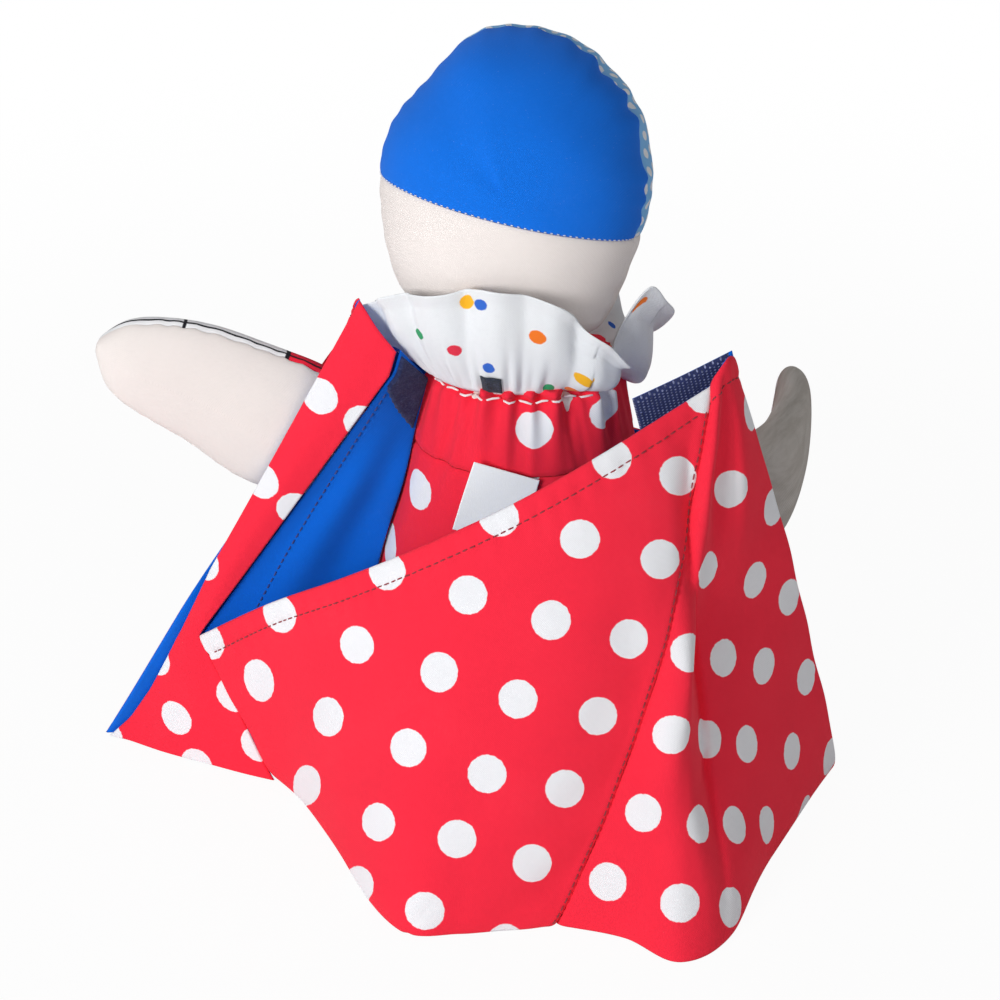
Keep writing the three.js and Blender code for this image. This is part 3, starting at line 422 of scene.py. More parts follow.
def lay_flat(grid, right, up, start, power=1.0):
    """Cloth laid flat in mm: seen along a direction, but each row's steps keep their true length from a
    starting column, so that a print doesn't stretch where the cloth turns away; a power below 1, which may
    differ by column, lets it stretch a little."""
    seen = np.stack([grid @ np.array(right), grid @ np.array(up)], -1)
    steps = np.diff(seen, axis=1)
    true = np.linalg.norm(np.diff(grid, axis=1), axis=-1, keepdims=True)
    steps = steps * (true / np.maximum(np.linalg.norm(steps, axis=-1, keepdims=True), 1e-6)) ** power
    run = np.concatenate([np.zeros_like(seen[:, :1]), np.cumsum(steps, 1)], 1)
    return run - run[:, start:start + 1] + seen[:, start:start + 1]


NET_KNOTS, NET_GIVE = (24, 32), 0.24


def eased_flat(grid, flat, rounds=1500):
    """Cloth laid flat in mm without stretch: from a first layout, springs along the rows, columns and
    diagonals of a coarse net draw towards their true lengths; places between its knots are shared out
    evenly."""
    rows, columns = (np.linspace(0, n - 1, k).round().astype(int) for n, k in zip(grid.shape[:2], NET_KNOTS))
    knots, place = grid[np.ix_(rows, columns)], flat[np.ix_(rows, columns)]
    every, near, far = slice(None), slice(0, -1), slice(1, None)
    springs = [((every, near), (every, far)), ((near, every), (far, every)),
               ((near, near), (far, far)), ((near, far), (far, near))]
    true = [np.linalg.norm(knots[b] - knots[a], axis=-1, keepdims=True) for a, b in springs]
    for _ in range(rounds):
        push = np.zeros_like(place)
        for (a, b), length in zip(springs, true):
            way = place[b] - place[a]
            now = np.maximum(np.linalg.norm(way, axis=-1, keepdims=True), 1e-6)
            part = way * (0.5 - 0.5 * length / now)
            push[a] += part
            push[b] -= part
        place = place + push * NET_GIVE
    all_rows, all_columns = (np.arange(n) for n in grid.shape[:2])
    tall = np.stack([[np.interp(all_rows, rows, place[:, c, k]) for c in range(len(columns))]
                     for k in (0, 1)], -1)
    return np.stack([[np.interp(all_columns, columns, tall[:, r, k]) for r in all_rows]
                     for k in (0, 1)], -1)


def measured_flat(grid):
    """Flat place on a small patch in mm: the way along its rows and the way down its columns."""
    return np.stack([lengths(grid, 1), lengths(grid, 0)], -1)


def quads(layer, row, column):
    """Corner places (faces, 4, 3) from four layers, rows and columns."""
    parts = [np.stack(np.broadcast_arrays(*part), -1) for part in (layer, row, column)]
    return np.stack(np.broadcast_arrays(*parts), -1)


def put(name, points, faces, material, body, nodes=(), uv=None, weld=False):
    """Mesh piece from points in mm and faces, turned to face outwards by the sign of its volume;
    uv is the flat place of each face corner. It rides on a body and stands for CAD nodes."""
    corner = points[faces]
    first, second = np.cross(corner[:, 1], corner[:, 2]), np.cross(corner[:, 2], corner[:, -1])
    if (corner[:, 0] * (first + second)).sum() < 0:
        faces = faces[:, ::-1]
        uv = None if uv is None else uv[:, ::-1]
    mesh = bpy.data.meshes.new(name)
    mesh.from_pydata((points * MM).tolist(), [], faces.tolist())
    if uv is not None:
        mesh.uv_layers.new(name="flat").uv.foreach_set("vector", uv.astype(np.float32).ravel())
    if weld:
        shape = bmesh.new()
        shape.from_mesh(mesh)
        bmesh.ops.remove_doubles(shape, verts=shape.verts, dist=1e-6)
        shape.to_mesh(mesh)
        shape.free()
    mesh.polygons.foreach_set("use_smooth", np.ones(len(mesh.polygons), bool))
    mesh.materials.append(material)
    piece = bpy.data.objects.new(name, mesh)
    bpy.context.scene.collection.objects.link(piece)
    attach(piece, body)
    if nodes:
        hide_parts(*nodes)
    return piece


def shell(name, inner, outer, material, body, nodes=(), slot=None, flat=None, ring=False, weld=False):
    """Closed cloth between two grids of points: an inner and an outer face and strips along the edges."""
    rows, columns = inner.shape[:2]
    points = np.concatenate([inner.reshape(-1, 3), outer.reshape(-1, 3)])
    wide = np.arange(columns if ring else columns - 1)
    r, c = (v.ravel() for v in np.meshgrid(np.arange(rows - 1), wide, indexing="ij"))
    tall, low, far = np.arange(rows - 1), rows - 1, columns - 1
    places = [
        quads((1, 1, 1, 1), (r, r, r + 1, r + 1), (c, c + 1, c + 1, c)),
        quads((0, 0, 0, 0), (r, r + 1, r + 1, r), (c, c, c + 1, c + 1)),
        quads((1, 1, 0, 0), (0, 0, 0, 0), (wide + 1, wide, wide, wide + 1)),
        quads((1, 1, 0, 0), (low, low, low, low), (wide, wide + 1, wide + 1, wide)),
    ]
    if not ring:
        places.append(quads((1, 1, 0, 0), (tall, tall + 1, tall + 1, tall), (0, 0, 0, 0)))
        places.append(quads((1, 1, 0, 0), (tall + 1, tall, tall, tall + 1), (far, far, far, far)))
    spot = np.concatenate(places)
    faces = (spot[..., 0] * rows + spot[..., 1]) * columns + spot[..., 2] % columns
    uv = None if flat is None else flat[spot[..., 1], spot[..., 2]]
    return put(name, points, faces, material, body, nodes, uv, weld)


def blob(name, rings, material, body, nodes=()):
    """Closed skin through rings of points whose first and last rings have shrunk to a point."""
    rows, columns = rings.shape[:2]
    r, c = (v.ravel() for v in np.meshgrid(np.arange(rows - 1), np.arange(columns), indexing="ij"))
    n = (c + 1) % columns
    faces = np.stack([r * columns + c, r * columns + n, (r + 1) * columns + n, (r + 1) * columns + c], -1)
    return put(name, rings.reshape(-1, 3), faces, material, body, nodes, weld=True)


STITCH_SHAPE = np.array([
    # share of the length, height and width in radii
    [0.0, -0.8, 0.0], [0.12, 0.5, 0.85], [0.5, 0.9, 1.0], [0.88, 0.5, 0.85], [1.0, -0.8, 0.0]])
THREAD_SIDES = 6


def stitches(name, line, lift, material, body, pitch, length, radius, nodes=()):
    """Sewn thread along a line of points: every pitch, a small tube that rises out of the cloth along the
    outward directions and dips back in, through the knots of STITCH_SHAPE."""
    run = lengths(line[None], 1)[0]
    count, knots, sides = int((run[-1] - length) / pitch) + 1, len(STITCH_SHAPE), THREAD_SIDES
    share, height, width = STITCH_SHAPE.T
    place = np.arange(count)[:, None] * pitch + share * length

    def at(values):
        """Values along the line at the knots of every stitch."""
        return np.stack([np.interp(place, run, values[:, k]) for k in range(3)], -1)

    out = unit(at(lift))
    middle = at(line) + out * (height * radius)[None, :, None]
    side = unit(np.cross(np.gradient(middle, axis=1), out))
    angle = np.arange(sides) * 2 * PI / sides
    ring = side[:, :, None] * np.cos(angle)[:, None] + out[:, :, None] * np.sin(angle)[:, None]
    points = middle[:, :, None] + ring * (radius * width)[None, :, None, None]
    steps = (np.arange(n) for n in (count, knots - 1, sides))
    k, r, c = (v.ravel() for v in np.meshgrid(*steps, indexing="ij"))
    base, n = (k * knots + r) * sides, (c + 1) % sides
    faces = np.stack([base + c, base + n, base + sides + n, base + sides + c], -1)
    return put(name, points.reshape(-1, 3), faces, material, body, nodes, weld=True)


def cloth_layers(middle, normals, near, far, ring=False, round_edge=0.9):
    """Two faces of a cloth layer that stands from near to far off a middle surface, with rounded edges."""
    share = np.clip(edge_distance(middle, ring) / round_edge, 0, 1)
    full = np.sqrt(np.maximum(1 - (1 - share) ** 2, 0.02))[..., None]
    mean, half = (near + far) / 2, (far - near) / 2
    return middle + normals * (mean * full - half * full), middle + normals * (mean * full + half * full)


# Body

TORSO_ROWS = np.array([
    # height, half width, half depth
    [0, 50, 40], [15, 53.3, 43.3], [45, 55, 45], [84, 51, 41], [117, 42.3, 35], [140, 37.9, 31],
    [160, 33.5, 27], [163, 32.5, 26]], float)
TORSO_TABLE = through(TORSO_ROWS, np.linspace(0, 1, 600))
TORSO_TOP, TORSO_LEAN, YOKE_SEAM, THREAD_HEIGHT = 163.0, 4.0, 132.0, 159.3
BODY_FOOT, NECK_LIP, COVER, BODY_SEAM_GAP = 1.5, TORSO_TOP + 0.4, 0.9, 0.004
SEAM_RADIUS, LUMP_RADIUS = 42, 45
NECK_FOLDS = [
    # angle round the body, depth, lean
    (4.66, 1.0, 0.0), (4.02, 0.9, -0.006), (5.2, 0.8, 0.003), (5.62, 0.7, 0.004)]
BASE_PROFILE = np.array([
    # share of the base's half size, level
    [0, 0], [0.3, 0], [0.6, 0], [0.85, 0], [0.96, 0.05], [0.99, 0.15], [1, 0.4], [1, 0.8], [0.99, 1.05],
    [0.96, 1.15], [0.85, 1.2], [0.5, 1.2], [0, 1.2]])
ROUND = np.linspace(0, 2 * PI, 73)[:-1][None]


def torso(z, angle, out, shrink=1.0):
    """Body surface: ovals whose half sizes follow a smooth profile of the height, leaning a bit sideways."""
    half_width = np.interp(z, TORSO_TABLE[:, 0], TORSO_TABLE[:, 1])
    half_depth = np.interp(z, TORSO_TABLE[:, 0], TORSO_TABLE[:, 2])
    x = TORSO_LEAN * z / TORSO_TOP + (half_width + out) * np.cos(angle) * shrink
    y = (half_depth + out) * np.sin(angle) * shrink
    return np.stack(np.broadcast_arrays(x, y, z), -1)


def gathers(z, angle):
    """Folds drawn up by the neck thread: uneven waves and a few long folds that die away below it, a waist
    at the thread, and a frill above."""
    below = np.clip(THREAD_HEIGHT - z, 0, None)
    wave = 0.6 * np.cos(25 * angle + 0.6) + 0.5 * np.cos(17 * angle + 2.1 + 0.9 * np.sin(3 * angle))
    long_fold = sum(deep * hump(np.cos(angle - at - (THREAD_HEIGHT - z) * lean), 1, 0.004)
                    for at, deep, lean in NECK_FOLDS)
    frill = step(THREAD_HEIGHT, THREAD_HEIGHT + 3, z) * (0.9 + 0.8 * np.cos(29 * angle + 1.3))
    waist = 1.3 * hump(z, THREAD_HEIGHT, 1.5)
    return 2.3 * np.exp(-below / 12) * wave - 2.8 * np.exp(-below / 24) * long_fold - waist + frill


def torso_panel(name, heights, first, last, material, node):
    """A sewn panel of the body between two angles: gathers, a groove along each seam, soft lumps of filling.
    Above the neck's lip it closes inwards over the neck opening."""
    z = np.minimum(heights, NECK_LIP)[:, None]
    above = np.clip(heights - NECK_LIP, 0, None)[:, None]
    shrink = 1 - above * 0.1
    angle = np.linspace(first, last, 150)[None]
    edge = np.minimum(angle - first, last - angle) * SEAM_RADIUS
    out = gathers(z, angle) - 0.9 * np.exp(-edge / 1.2) - 0.9 * hump(z, YOKE_SEAM, 1.3)
    out = out + 0.5 * ripple(angle * LUMP_RADIUS, z, 3) * step(0, 20, z)
    outer = torso(z, angle, out, shrink)
    inner = torso(z - COVER * np.minimum(above, 1), angle, out - COVER, shrink)
    flat = lay_flat(torso(z, angle, 0, shrink), (1 if first >= PI else -1, 0, 0), (0, 0, 1), 75)
    shell(name, inner, outer, material, "body", [node], "dotted_red", flat)


def make_body():
    """Gathered back yoke, lower back, front and base of the body."""
    yoke_print = dotted_red("yoke_dotted_red", YOKE_DOTS)
    back_print = cotton("body_dotted_red", lattice_dots(BODY_STEP_A, BODY_STEP_B, BODY_DOTS))
    closing = NECK_LIP + np.linspace(0, 6.8, 12)
    yoke_rows = np.concatenate([np.linspace(YOKE_SEAM + 0.15, TORSO_TOP, 70), closing])
    back_rows = BODY_FOOT + (YOKE_SEAM - 0.2 - BODY_FOOT) * edged(80)
    front_rows = np.concatenate([np.linspace(BODY_FOOT, TORSO_TOP, 110), closing])
    back, front = (PI + BODY_SEAM_GAP, 2 * PI - BODY_SEAM_GAP), (BODY_SEAM_GAP, PI - BODY_SEAM_GAP)
    torso_panel("body_yoke_back", yoke_rows, *back, yoke_print, "torso_back_yoke")
    torso_panel("body_lower_back", back_rows, *back, back_print, "torso_back_panel")
    torso_panel("body_front", front_rows, *front, back_print, "torso_front_panel")
    share, level = BASE_PROFILE[:, :1], BASE_PROFILE[:, 1:]
    x, y = TORSO_ROWS[0, 1] * share * np.cos(ROUND), TORSO_ROWS[0, 2] * share * np.sin(ROUND)
    base = np.stack(np.broadcast_arrays(x, y, level), -1)
    red = cotton("base_red", plain(RED))
    blob("body_base", base, red, "body", ["torso_base_panel"])


def torso_filling(levels, ends, count, lumps):
    """Filling in the body: the torso drawn in by lumps, given by the height, and closed at its foot and top.
    levels are the foot, the first and last full height and the top; ends are the shares at foot and top."""
    foot, first, last, top = levels
    height = np.concatenate([[foot, foot], np.linspace(first, last, count), [top, top]])[:, None]
    full = np.concatenate([[0.0, ends[0]], np.ones(count), [ends[1], 0.0]])[:, None]
    return torso(height, ROUND, lumps(height), full)


def make_body_inside():
    """Fibre filling, and the bag of pellets below it."""
    fibre, bag_cloth = filling_finish("fibre_filling", FIBRE_WHITE), filling_finish("pellet_cloth", CREAM)
    fill = torso_filling((22.2, 23.5, 158, 160.5), (0.96, 0.93), 40,
                         lambda height: -3.2 + 0.7 * np.cos(5 * ROUND + height / 9))
    blob("body_filling", fill, fibre, "body", ["torso_stuffing"])
    bag = torso_filling((1.9, 3.0, 20, 21.2), (0.95, 0.95), 14,
                        lambda height: -3.0 + 0.4 * np.cos(23 * ROUND + height))
    blob("pellet_bag", bag, bag_cloth, "body", ["bean_pouch"])


def make_neck_thread():
    """White thread that gathers the neck: long stitches round it that follow the folds and waver a little."""
    angle = np.linspace(0, 2 * PI, 720)
    line = torso(np.full(720, THREAD_HEIGHT), angle, 0.6 * gathers(THREAD_HEIGHT, angle) + 0.35)
    line[:, 2] += 0.5 * np.sin(9 * angle) + 0.25 * np.sin(23 * angle + 1)
    lift = np.stack([np.cos(angle), np.sin(angle), 0 * angle], -1)
    white = thread_finish("white_thread", rgb(244, 238, 240))
    stitches("neck_thread", line, lift, white, "body", pitch=6.4, length=5.6, radius=0.48,
             nodes=["neck_gather_thread"])


# Collar

COLLAR_KEYS = np.array([
    # degrees round the neck, flare, height
    [-180, 22, 20], [-170, 21.5, 26], [-152, 17, 35.5], [-137, 14, 39.5], [-120, 12.5, 42.5],
    [-104, 11.5, 46], [-88, 12.9, 44.5], [-74, 12.5, 41], [-65, 13.5, 36], [-58, 15, 28.5],
    [-49, 16.5, 22], [-37, 18, 11], [-28, 7, 12], [-21, 10, 25], [-15, 16.5, 34.5], [-6, 21, 26],
    [4, 24, 17], [13, 19, 7], [24, 13, 3], [36, 18, 4], [50, 22, 14], [68, 27, 8], [85, 22, 16],
    [105, 26, 9], [122, 22, 15], [140, 25, 8], [158, 21, 15], [180, 22, 20]], float)
COLLAR_CREASES = np.array([
    # degrees round the neck, outward depth, width in degrees
    [-173, 2.2, 6], [-163, -1.6, 3.5], [-155, 2.0, 5], [-146, -2.2, 4], [-131, 2.0, 8], [-115, -2.6, 5],
    [-100, 2.0, 7], [-86, -1.4, 5], [-72, 2.0, 6], [-60, -2.3, 4], [-50, 1.8, 5]])
COLLAR_FOOT, COLLAR_HALF_WIDTH, COLLAR_HALF_DEPTH = 161.4, 31.7, 25.2
COLLAR_FLAT_DEGREE, COLLAR_FLAT_TALL = 0.62, 38


def collar_grid(angle, rise):
    """Ruffle: from an oval just inside the neckline it balloons out, then rises and flares by keyed amounts
    round the neck; soft creases run up it, fine pleats crowd at its foot, and it sags in two places."""
    degrees = np.degrees(angle)
    keys = through(COLLAR_KEYS, np.linspace(0, 1, 1500))
    flare, height = (np.interp(degrees, keys[:, 0], keys[:, k]) for k in (1, 2))
    folds = sum(depth * hump(degrees, place, width) for place, depth, width in COLLAR_CREASES)
    folds = folds + 1.2 * step(60, 80, 140 - np.abs(degrees - 100)) * np.cos(14 * angle)
    pleats = np.cos(37 * angle + 1.9 * np.sin(7 * angle))
    pleats = pleats + 0.6 * np.cos(53 * angle + 2.2 * np.sin(4 * angle + 1))
    pleats = 0.9 * pleats * (1 - rise) ** 3.5 * np.minimum(rise * 9, 1)
    fuller = (2.6 + 2.2 * hump(degrees, -172, 16)) * np.sin(PI * np.minimum(rise * 1.15, 1))
    slump = hump(degrees, -45, 17) * np.sin(PI * np.minimum(rise * 1.5, 1))
    droop = hump(degrees, -4, 13) * np.sin(PI * np.minimum(1.6 * rise, 1))
    curl = flare * rise ** 1.1 + fuller + folds * rise ** 0.8 + pleats + 3.5 * slump + 5.0 * droop
    x = (COLLAR_HALF_WIDTH + curl) * np.cos(angle)
    y = (COLLAR_HALF_DEPTH + curl) * np.sin(angle)
    z = COLLAR_FOOT + height * rise + 2.0 * np.sin(PI * rise) * (height < 25) - 5.0 * slump - 14.0 * droop
    return np.stack(np.broadcast_arrays(x, y, z), -1)


def make_collar():
    """Ruffle with small coloured dots and the stub of closure tape at its foot."""
    angle = np.linspace(-PI, PI, 541)[None]
    rise = np.concatenate([np.linspace(0, 0.95, 30), [0.97, 0.985, 0.994, 1.0]])[:, None]
    closed = collar_grid(angle, rise)[:, :-1]
    inner, outer = cloth_layers(closed, normals_of(closed, True), -0.35, 0.35, True, 0.6)
    flat = np.stack(np.broadcast_arrays(np.degrees(angle) * COLLAR_FLAT_DEGREE, rise * COLLAR_FLAT_TALL), -1)
    finish = cotton("collar_dotted_white", spots(COLLAR_WHITE, *COLLAR_DOTS), 0.08, 0.1, 0.02)
    piece = shell("collar_frill", inner, outer, finish, "body", ["collar_ruffle"], "dotted_white", flat, True)
    spread = np.radians(np.linspace(-111, -98, 12))[None]
    patch = collar_grid(spread, np.linspace(0.03, 0.19, 8)[:, None]) + np.array([0, -1.0, 0])
    inner, outer = cloth_layers(patch, np.broadcast_to([0.0, -1, 0], patch.shape), -0.5, 0.5)
    shell("collar_tape", inner, outer, loop_pile("charcoal_tape_pile", CHARCOAL), "body",
          ["collar_closure_tape"], "charcoal_tape", measured_flat(patch))


# Head

HEAD_CENTRE = np.array([0.4, 12, 227.4])
HALF_WIDTH, HALF_DEPTH, CROWN, JAW, JAW_WIDTH, FOOT, FOOT_WIDTH = 47.0, 41.0, 51.0, 42.0, 36.0, 53.0, 24.0
HEAD_HALF = np.array([HALF_WIDTH, HALF_DEPTH, CROWN])
HEAD_FULLER = np.array([5.0, 0, -1.5])
HEAD_NOTCHES = [
    # degrees round the side seam, depth, width in degrees
    (57, 2.4, 4.5), (21, 2.6, 4.5), (40, 1.2, 4)]
SEAM_TILT, SEAM_RISE, SEAM_SWING = math.radians(5), -10.0, 0.2
SEAM_UP = np.array([math.sin(SEAM_TILT), 0, math.cos(SEAM_TILT)])
CAP_SEAM_GAP, SIDE_SEAM_GAP = 0.12, 0.003
NECK_DROP, NECK_STEM_RADIUS = 48, 8
NECK_WIDTHS = [0.0, 7.4, 7.8, 7.8, 8.0, 9.3, 12, 12.9, 12, 9.3, 5.9, 2.9, 0.0]


def turned(degrees, axis):
    """Turn matrix about one axis, 0 to 2 for x to z."""
    c, s = math.cos(math.radians(degrees)), math.sin(math.radians(degrees))
    matrix = np.eye(3)
    i, j = [(1, 2), (2, 0), (0, 1)][axis]
    matrix[i, i] = matrix[j, j] = c
    matrix[i, j], matrix[j, i] = -s, s
    return matrix


HEAD_TURN = turned(8, 1) @ turned(-14, 0) @ turned(-9, 2)


def head_place(local):
    """Points in the head's own axes, turned and set into the frame."""
    return local @ HEAD_TURN.T + HEAD_CENTRE


def head_half_width(height):
    """Egg profile: round crown, long taper to the jaw, then drawn in at the foot."""
    crown = HALF_WIDTH * np.sqrt(np.maximum(1 - (height / CROWN) ** 2, 0))
    jaw = HALF_WIDTH - (HALF_WIDTH - JAW_WIDTH) * (height / JAW) ** 2
    below = np.clip((-height - JAW) / (FOOT - JAW), 0, 1)
    foot = JAW_WIDTH - (JAW_WIDTH - FOOT_WIDTH) * below ** 1.3
    return np.where(height >= 0, crown, np.where(height > -JAW, jaw, foot))


def head_surface(angle, height, drawn_in=0.0):
    """Stuffed head in its own axes: the egg, a flatter upper left side, seam grooves, and puckers that run
    out from the side seam, deepest at the notches on its right; it is fuller at its lower right."""
    wide = head_half_width(height)
    deep = wide * HALF_DEPTH / HALF_WIDTH
    local = np.stack(np.broadcast_arrays(wide * np.cos(angle), deep * np.sin(angle), height), -1)
    x, y, z = np.moveaxis(local, -1, 0)
    full = np.clip((-z - 25) / 30, 0, None) ** 1.2 * step(2, 26, x)
    local = local + full[..., None] * HEAD_FULLER
    way = unit(local / HEAD_HALF ** 2)
    round_place = np.degrees(np.arctan2(z, x))
    run = np.radians(round_place) * 48
    from_side = np.abs(y + math.tan(SEAM_SWING) * HALF_DEPTH / HALF_WIDTH * np.maximum(x, 0))
    right = step(-30, 10, round_place) * step(100, 60, round_place)
    pucker = np.exp(-from_side / 6) * (0.35 + 0.45 * right) * np.cos(2 * PI * run / 9.3 + np.sin(run / 7))
    notch = sum(depth * hump(round_place, at, width) for at, depth, width in HEAD_NOTCHES)
    notch = notch * np.exp(-from_side / 9)
    flatter = 3.4 * hump(round_place, 141, 20) - 1.6 * hump(round_place, 112, 13)
    flatter = flatter * hump(y, 0, 34)
    seam = (local @ SEAM_UP) - SEAM_RISE * SEAM_UP[2]
    grooves = 1.0 * np.exp(-from_side / 1.1) + 0.75 * np.exp(-np.abs(seam) / 1.0)
    lumps = 0.45 * ripple(x, z + 0.6 * y, 5)
    return local + way * (pucker - notch - flatter - grooves + lumps - drawn_in)[..., None]


def seam_height(angle):
    """Height of the cap seam at an angle round the head, where its tilted plane meets the egg."""
    height = np.full_like(angle, SEAM_RISE)
    for _ in range(6):
        height = SEAM_RISE - math.tan(SEAM_TILT) * head_half_width(height) * np.cos(angle)
    return height


def head_panel(name, first, last, upper, material, node, slot, mirror):
    """A quarter of the head's cover, above or below the cap seam, between two angles round the head."""
    angle = first + (last - first) * edged(110)[None]
    share = edged(70)[:, None]
    seam = seam_height(angle)
    if upper:
        low = seam + CAP_SEAM_GAP
        height = low + (CROWN - 0.02 - low) * np.sin(share * PI / 2)
    else:
        height = -FOOT + (seam - CAP_SEAM_GAP + FOOT) * share
    inner, outer = (head_surface(angle, height, depth) for depth in (1.0, 0.0))
    if upper:
        round_way = (angle - (first + last) / 2) * head_half_width(height) * -0.94
        flat = np.stack([round_way, lengths(outer, 0)], -1)
    else:
        flat = np.stack([outer[..., 0] * mirror, outer[..., 2]], -1)
    layers = head_place(inner), head_place(outer)
    shell(name, *layers, material, "head", [node], slot, flat, weld=True)


def make_head():
    """Cap and nape behind, printed cap and face in front, and ticks of thread along the cap seam."""
    blue = cotton("cap_blue_cotton", plain(CAP_BLUE), 0.12, 0.04, 0.16)
    cream = cotton("cream_cotton", plain(CREAM), 0.10, 0.03, 0.02)
    printed = cotton("front_cap_print", lattice_dots((7, 0), (3.5, 6), (0, 0), SKY, 1.9))
    face = cotton("face_print", face_print)
    back = (PI + SIDE_SEAM_GAP, 2 * PI - SEAM_SWING - SIDE_SEAM_GAP)
    front = (SIDE_SEAM_GAP - SEAM_SWING, PI - SIDE_SEAM_GAP)
    head_panel("cap_back", *back, True, blue, "head_back_cap", "cap_blue", 1)
    head_panel("nape_back", *back, False, cream, "head_back_nape", "cream_cotton", 1)
    head_panel("cap_front", *front, True, printed, "head_front_cap", "printed_front", -1)
    head_panel("face_front", *front, False, face, "head_face", "cream_cotton", -1)
    angle = np.linspace(PI + 0.08, 2 * PI - SEAM_SWING - 0.06, 500)
    line = head_surface(angle, seam_height(angle) + 0.5, -0.1)
    lift = unit(line / HEAD_HALF ** 2) @ HEAD_TURN.T
    pale = thread_finish("pale_thread", rgb(226, 228, 236))
    stitches("cap_seam_ticks", head_place(line), lift, pale, "head", pitch=2.3, length=0.95, radius=0.24)


def make_head_inside():
    """Fibre filling of the head, an egg drawn in and closed at both ends, and the neck: a stuffed ball on a
    short stem that ends just above the body, ribbed a little and set on the head's axis."""
    turn = np.linspace(0, 2 * PI, 65)[:-1][None]
    low, high = -FOOT + 3, CROWN - 3
    height = np.concatenate([[low, low + 0.01], np.linspace(low + 1, high, 48)])[:, None]
    wide = np.maximum(head_half_width(height * 1.04) - 3.5, 0)
    wide[0] = 0
    fill = np.stack(np.broadcast_arrays(wide * np.cos(turn), wide * 0.87 * np.sin(turn), height), -1)
    fill = np.concatenate([fill, np.broadcast_to([0.0, 0, high], fill[:1].shape)])
    fibre = filling_finish("head_fibre", FIBRE_WHITE)
    blob("head_filling", head_place(fill), fibre, "head", ["head_stuffing"])
    axis = HEAD_TURN[:, 2]
    pivot = HEAD_CENTRE - NECK_DROP * axis
    stem = (pivot[2] - TORSO_TOP - 0.5 - NECK_STEM_RADIUS * math.sqrt(1 - axis[2] ** 2)) / axis[2]
    along = [-stem, -stem, -stem + 1, -14, -11.5, -9, -5, 0, 5, 9, 11.6, 12.6, 12.9]
    profile = through(np.stack([along, NECK_WIDTHS], -1), np.linspace(0, 1, 60))
    radius = np.maximum(profile[:, 1:], 0) * (1 + 0.03 * np.cos(16 * turn))
    radius[0] = radius[-1] = 0
    neck = np.stack(np.broadcast_arrays(radius * np.cos(turn), radius * np.sin(turn), profile[:, :1]), -1)
    cloth = filling_finish("neck_cloth", CREAM)
    neck = neck @ HEAD_TURN.T + pivot
    blob("neck_roll", neck, cloth, "neck", ["neck_stem"])


# Arms

LEFT_ARM = {
    "root": np.array([-59.66, 0, 124.0]), "way": np.array([-21, 0, 12.0]), "radius": 20.0,
    "seam_ahead": 0.32, "facing": np.array([0, -1, 0]),
    "spine": np.array([[-21, 0, 12], [-47, 0, 27], [-70, 0, 37], [-80, 0, 41.5], [-86, 0, 44]], float),
    "half": np.array([27, 23.5, 18.5, 13, 4]),
}
RIGHT_ARM = {
    "root": np.array([65.2, 0.5, 108.0]), "way": np.array([math.cos(PI / 6), 0.5, 0]), "radius": 18.0,
    "seam_ahead": -1.25, "facing": np.array([1, -0.6, 0]),
    "spine": np.array([[14, 8, -6], [28, 23, -9], [36, 44, -6], [39, 62, 1], [39.5, 72, 4],
                       [40, 78, 5]], float),
    "half": np.array([23, 26, 23, 17, 11, 2.5]),
}
ARM_HALF_THICKNESS = 9.0
ROOT_SHARES = np.array([-1.0, -0.97, -0.8, -0.45, 0.0])


def arm_sections(arm, count):
    """Stations along an arm: half circle at the root, then the mitten's widths along its spine, and a point
    at each end; smooth curves run through them. Gives middles, half widths and half thicknesses."""
    way = unit(arm["way"])
    middles = np.vstack([ROOT_SHARES[:, None] * arm["radius"] * way, arm["spine"]])
    half = np.concatenate([arm["radius"] * np.sqrt(1 - ROOT_SHARES ** 2), arm["half"]])
    tip = middles[-1] + 1.2 * unit(middles[-1] - middles[-2])
    middles, half = np.vstack([middles, tip]), np.append(half, 0.0)
    thick = ARM_HALF_THICKNESS * np.sqrt(half / half.max())
    share = np.linspace(0, 1, count)
    smooth = through(np.column_stack([middles, half, thick]), share)
    smooth[:, 3:] = np.maximum(smooth[:, 3:], 0)
    smooth[[0, -1], 3:] = 0
    return smooth[:, :3], smooth[:, 3], smooth[:, 4]


def arm_axes(middles):
    """Directions at each station of an arm: one across it, kept upright, and one through its thickness."""
    along = unit(np.gradient(middles, axis=0))
    across = unit(np.array([0.0, 0, 1]) - along * along[:, 2:])
    return across, unit(np.cross(across, along))


def arm_half(name, arm, side, material, body, node, slot):
    """Half of an arm's cover from seam to seam: lens-shaped sections whose seams are drawn in and puckered.
    The flat place is the distance along the arm and from the nearer seam."""
    middles, half, thick = arm_sections(arm, 130)
    across, deep = arm_axes(middles)
    deep = deep * np.where((deep @ arm["facing"]) < 0, -1, 1)[:, None]
    half, thick, share = half[:, None], thick[:, None], edged(50)[None]
    ahead = arm["seam_ahead"] * np.minimum(half / 14, 1)
    turn = ahead + (PI - ahead) * share if side > 0 else ahead - (PI + ahead) * share
    run = lengths(middles[None], 1)[0][:, None]
    seam = np.minimum(share, 1 - share) * PI * half
    pucker = 0.5 * np.cos(2 * PI * run / 7.3 + np.sin(run / 5)) * np.exp(-seam / 3.0)
    pucker = pucker + 0.5 * ripple(run, turn * 20, 8) - 0.7 * np.exp(-seam / 1.2)
    pucker = pucker * np.minimum(half / 20, 1)
    layers = []
    for depth in (COVER, 0.0):
        width = np.maximum(half - depth + pucker, 0.0) * np.cos(turn)
        height = np.maximum(thick - depth + 0.5 * pucker, 0.0) * np.sin(turn)
        layers.append(arm["root"] + middles[:, None] + across[:, None] * width[..., None]
                      + deep[:, None] * height[..., None])
    flat = np.stack([np.broadcast_to(run, seam.shape), seam], -1)
    shell(name, *layers, material, body, [node], slot, flat, weld=True)


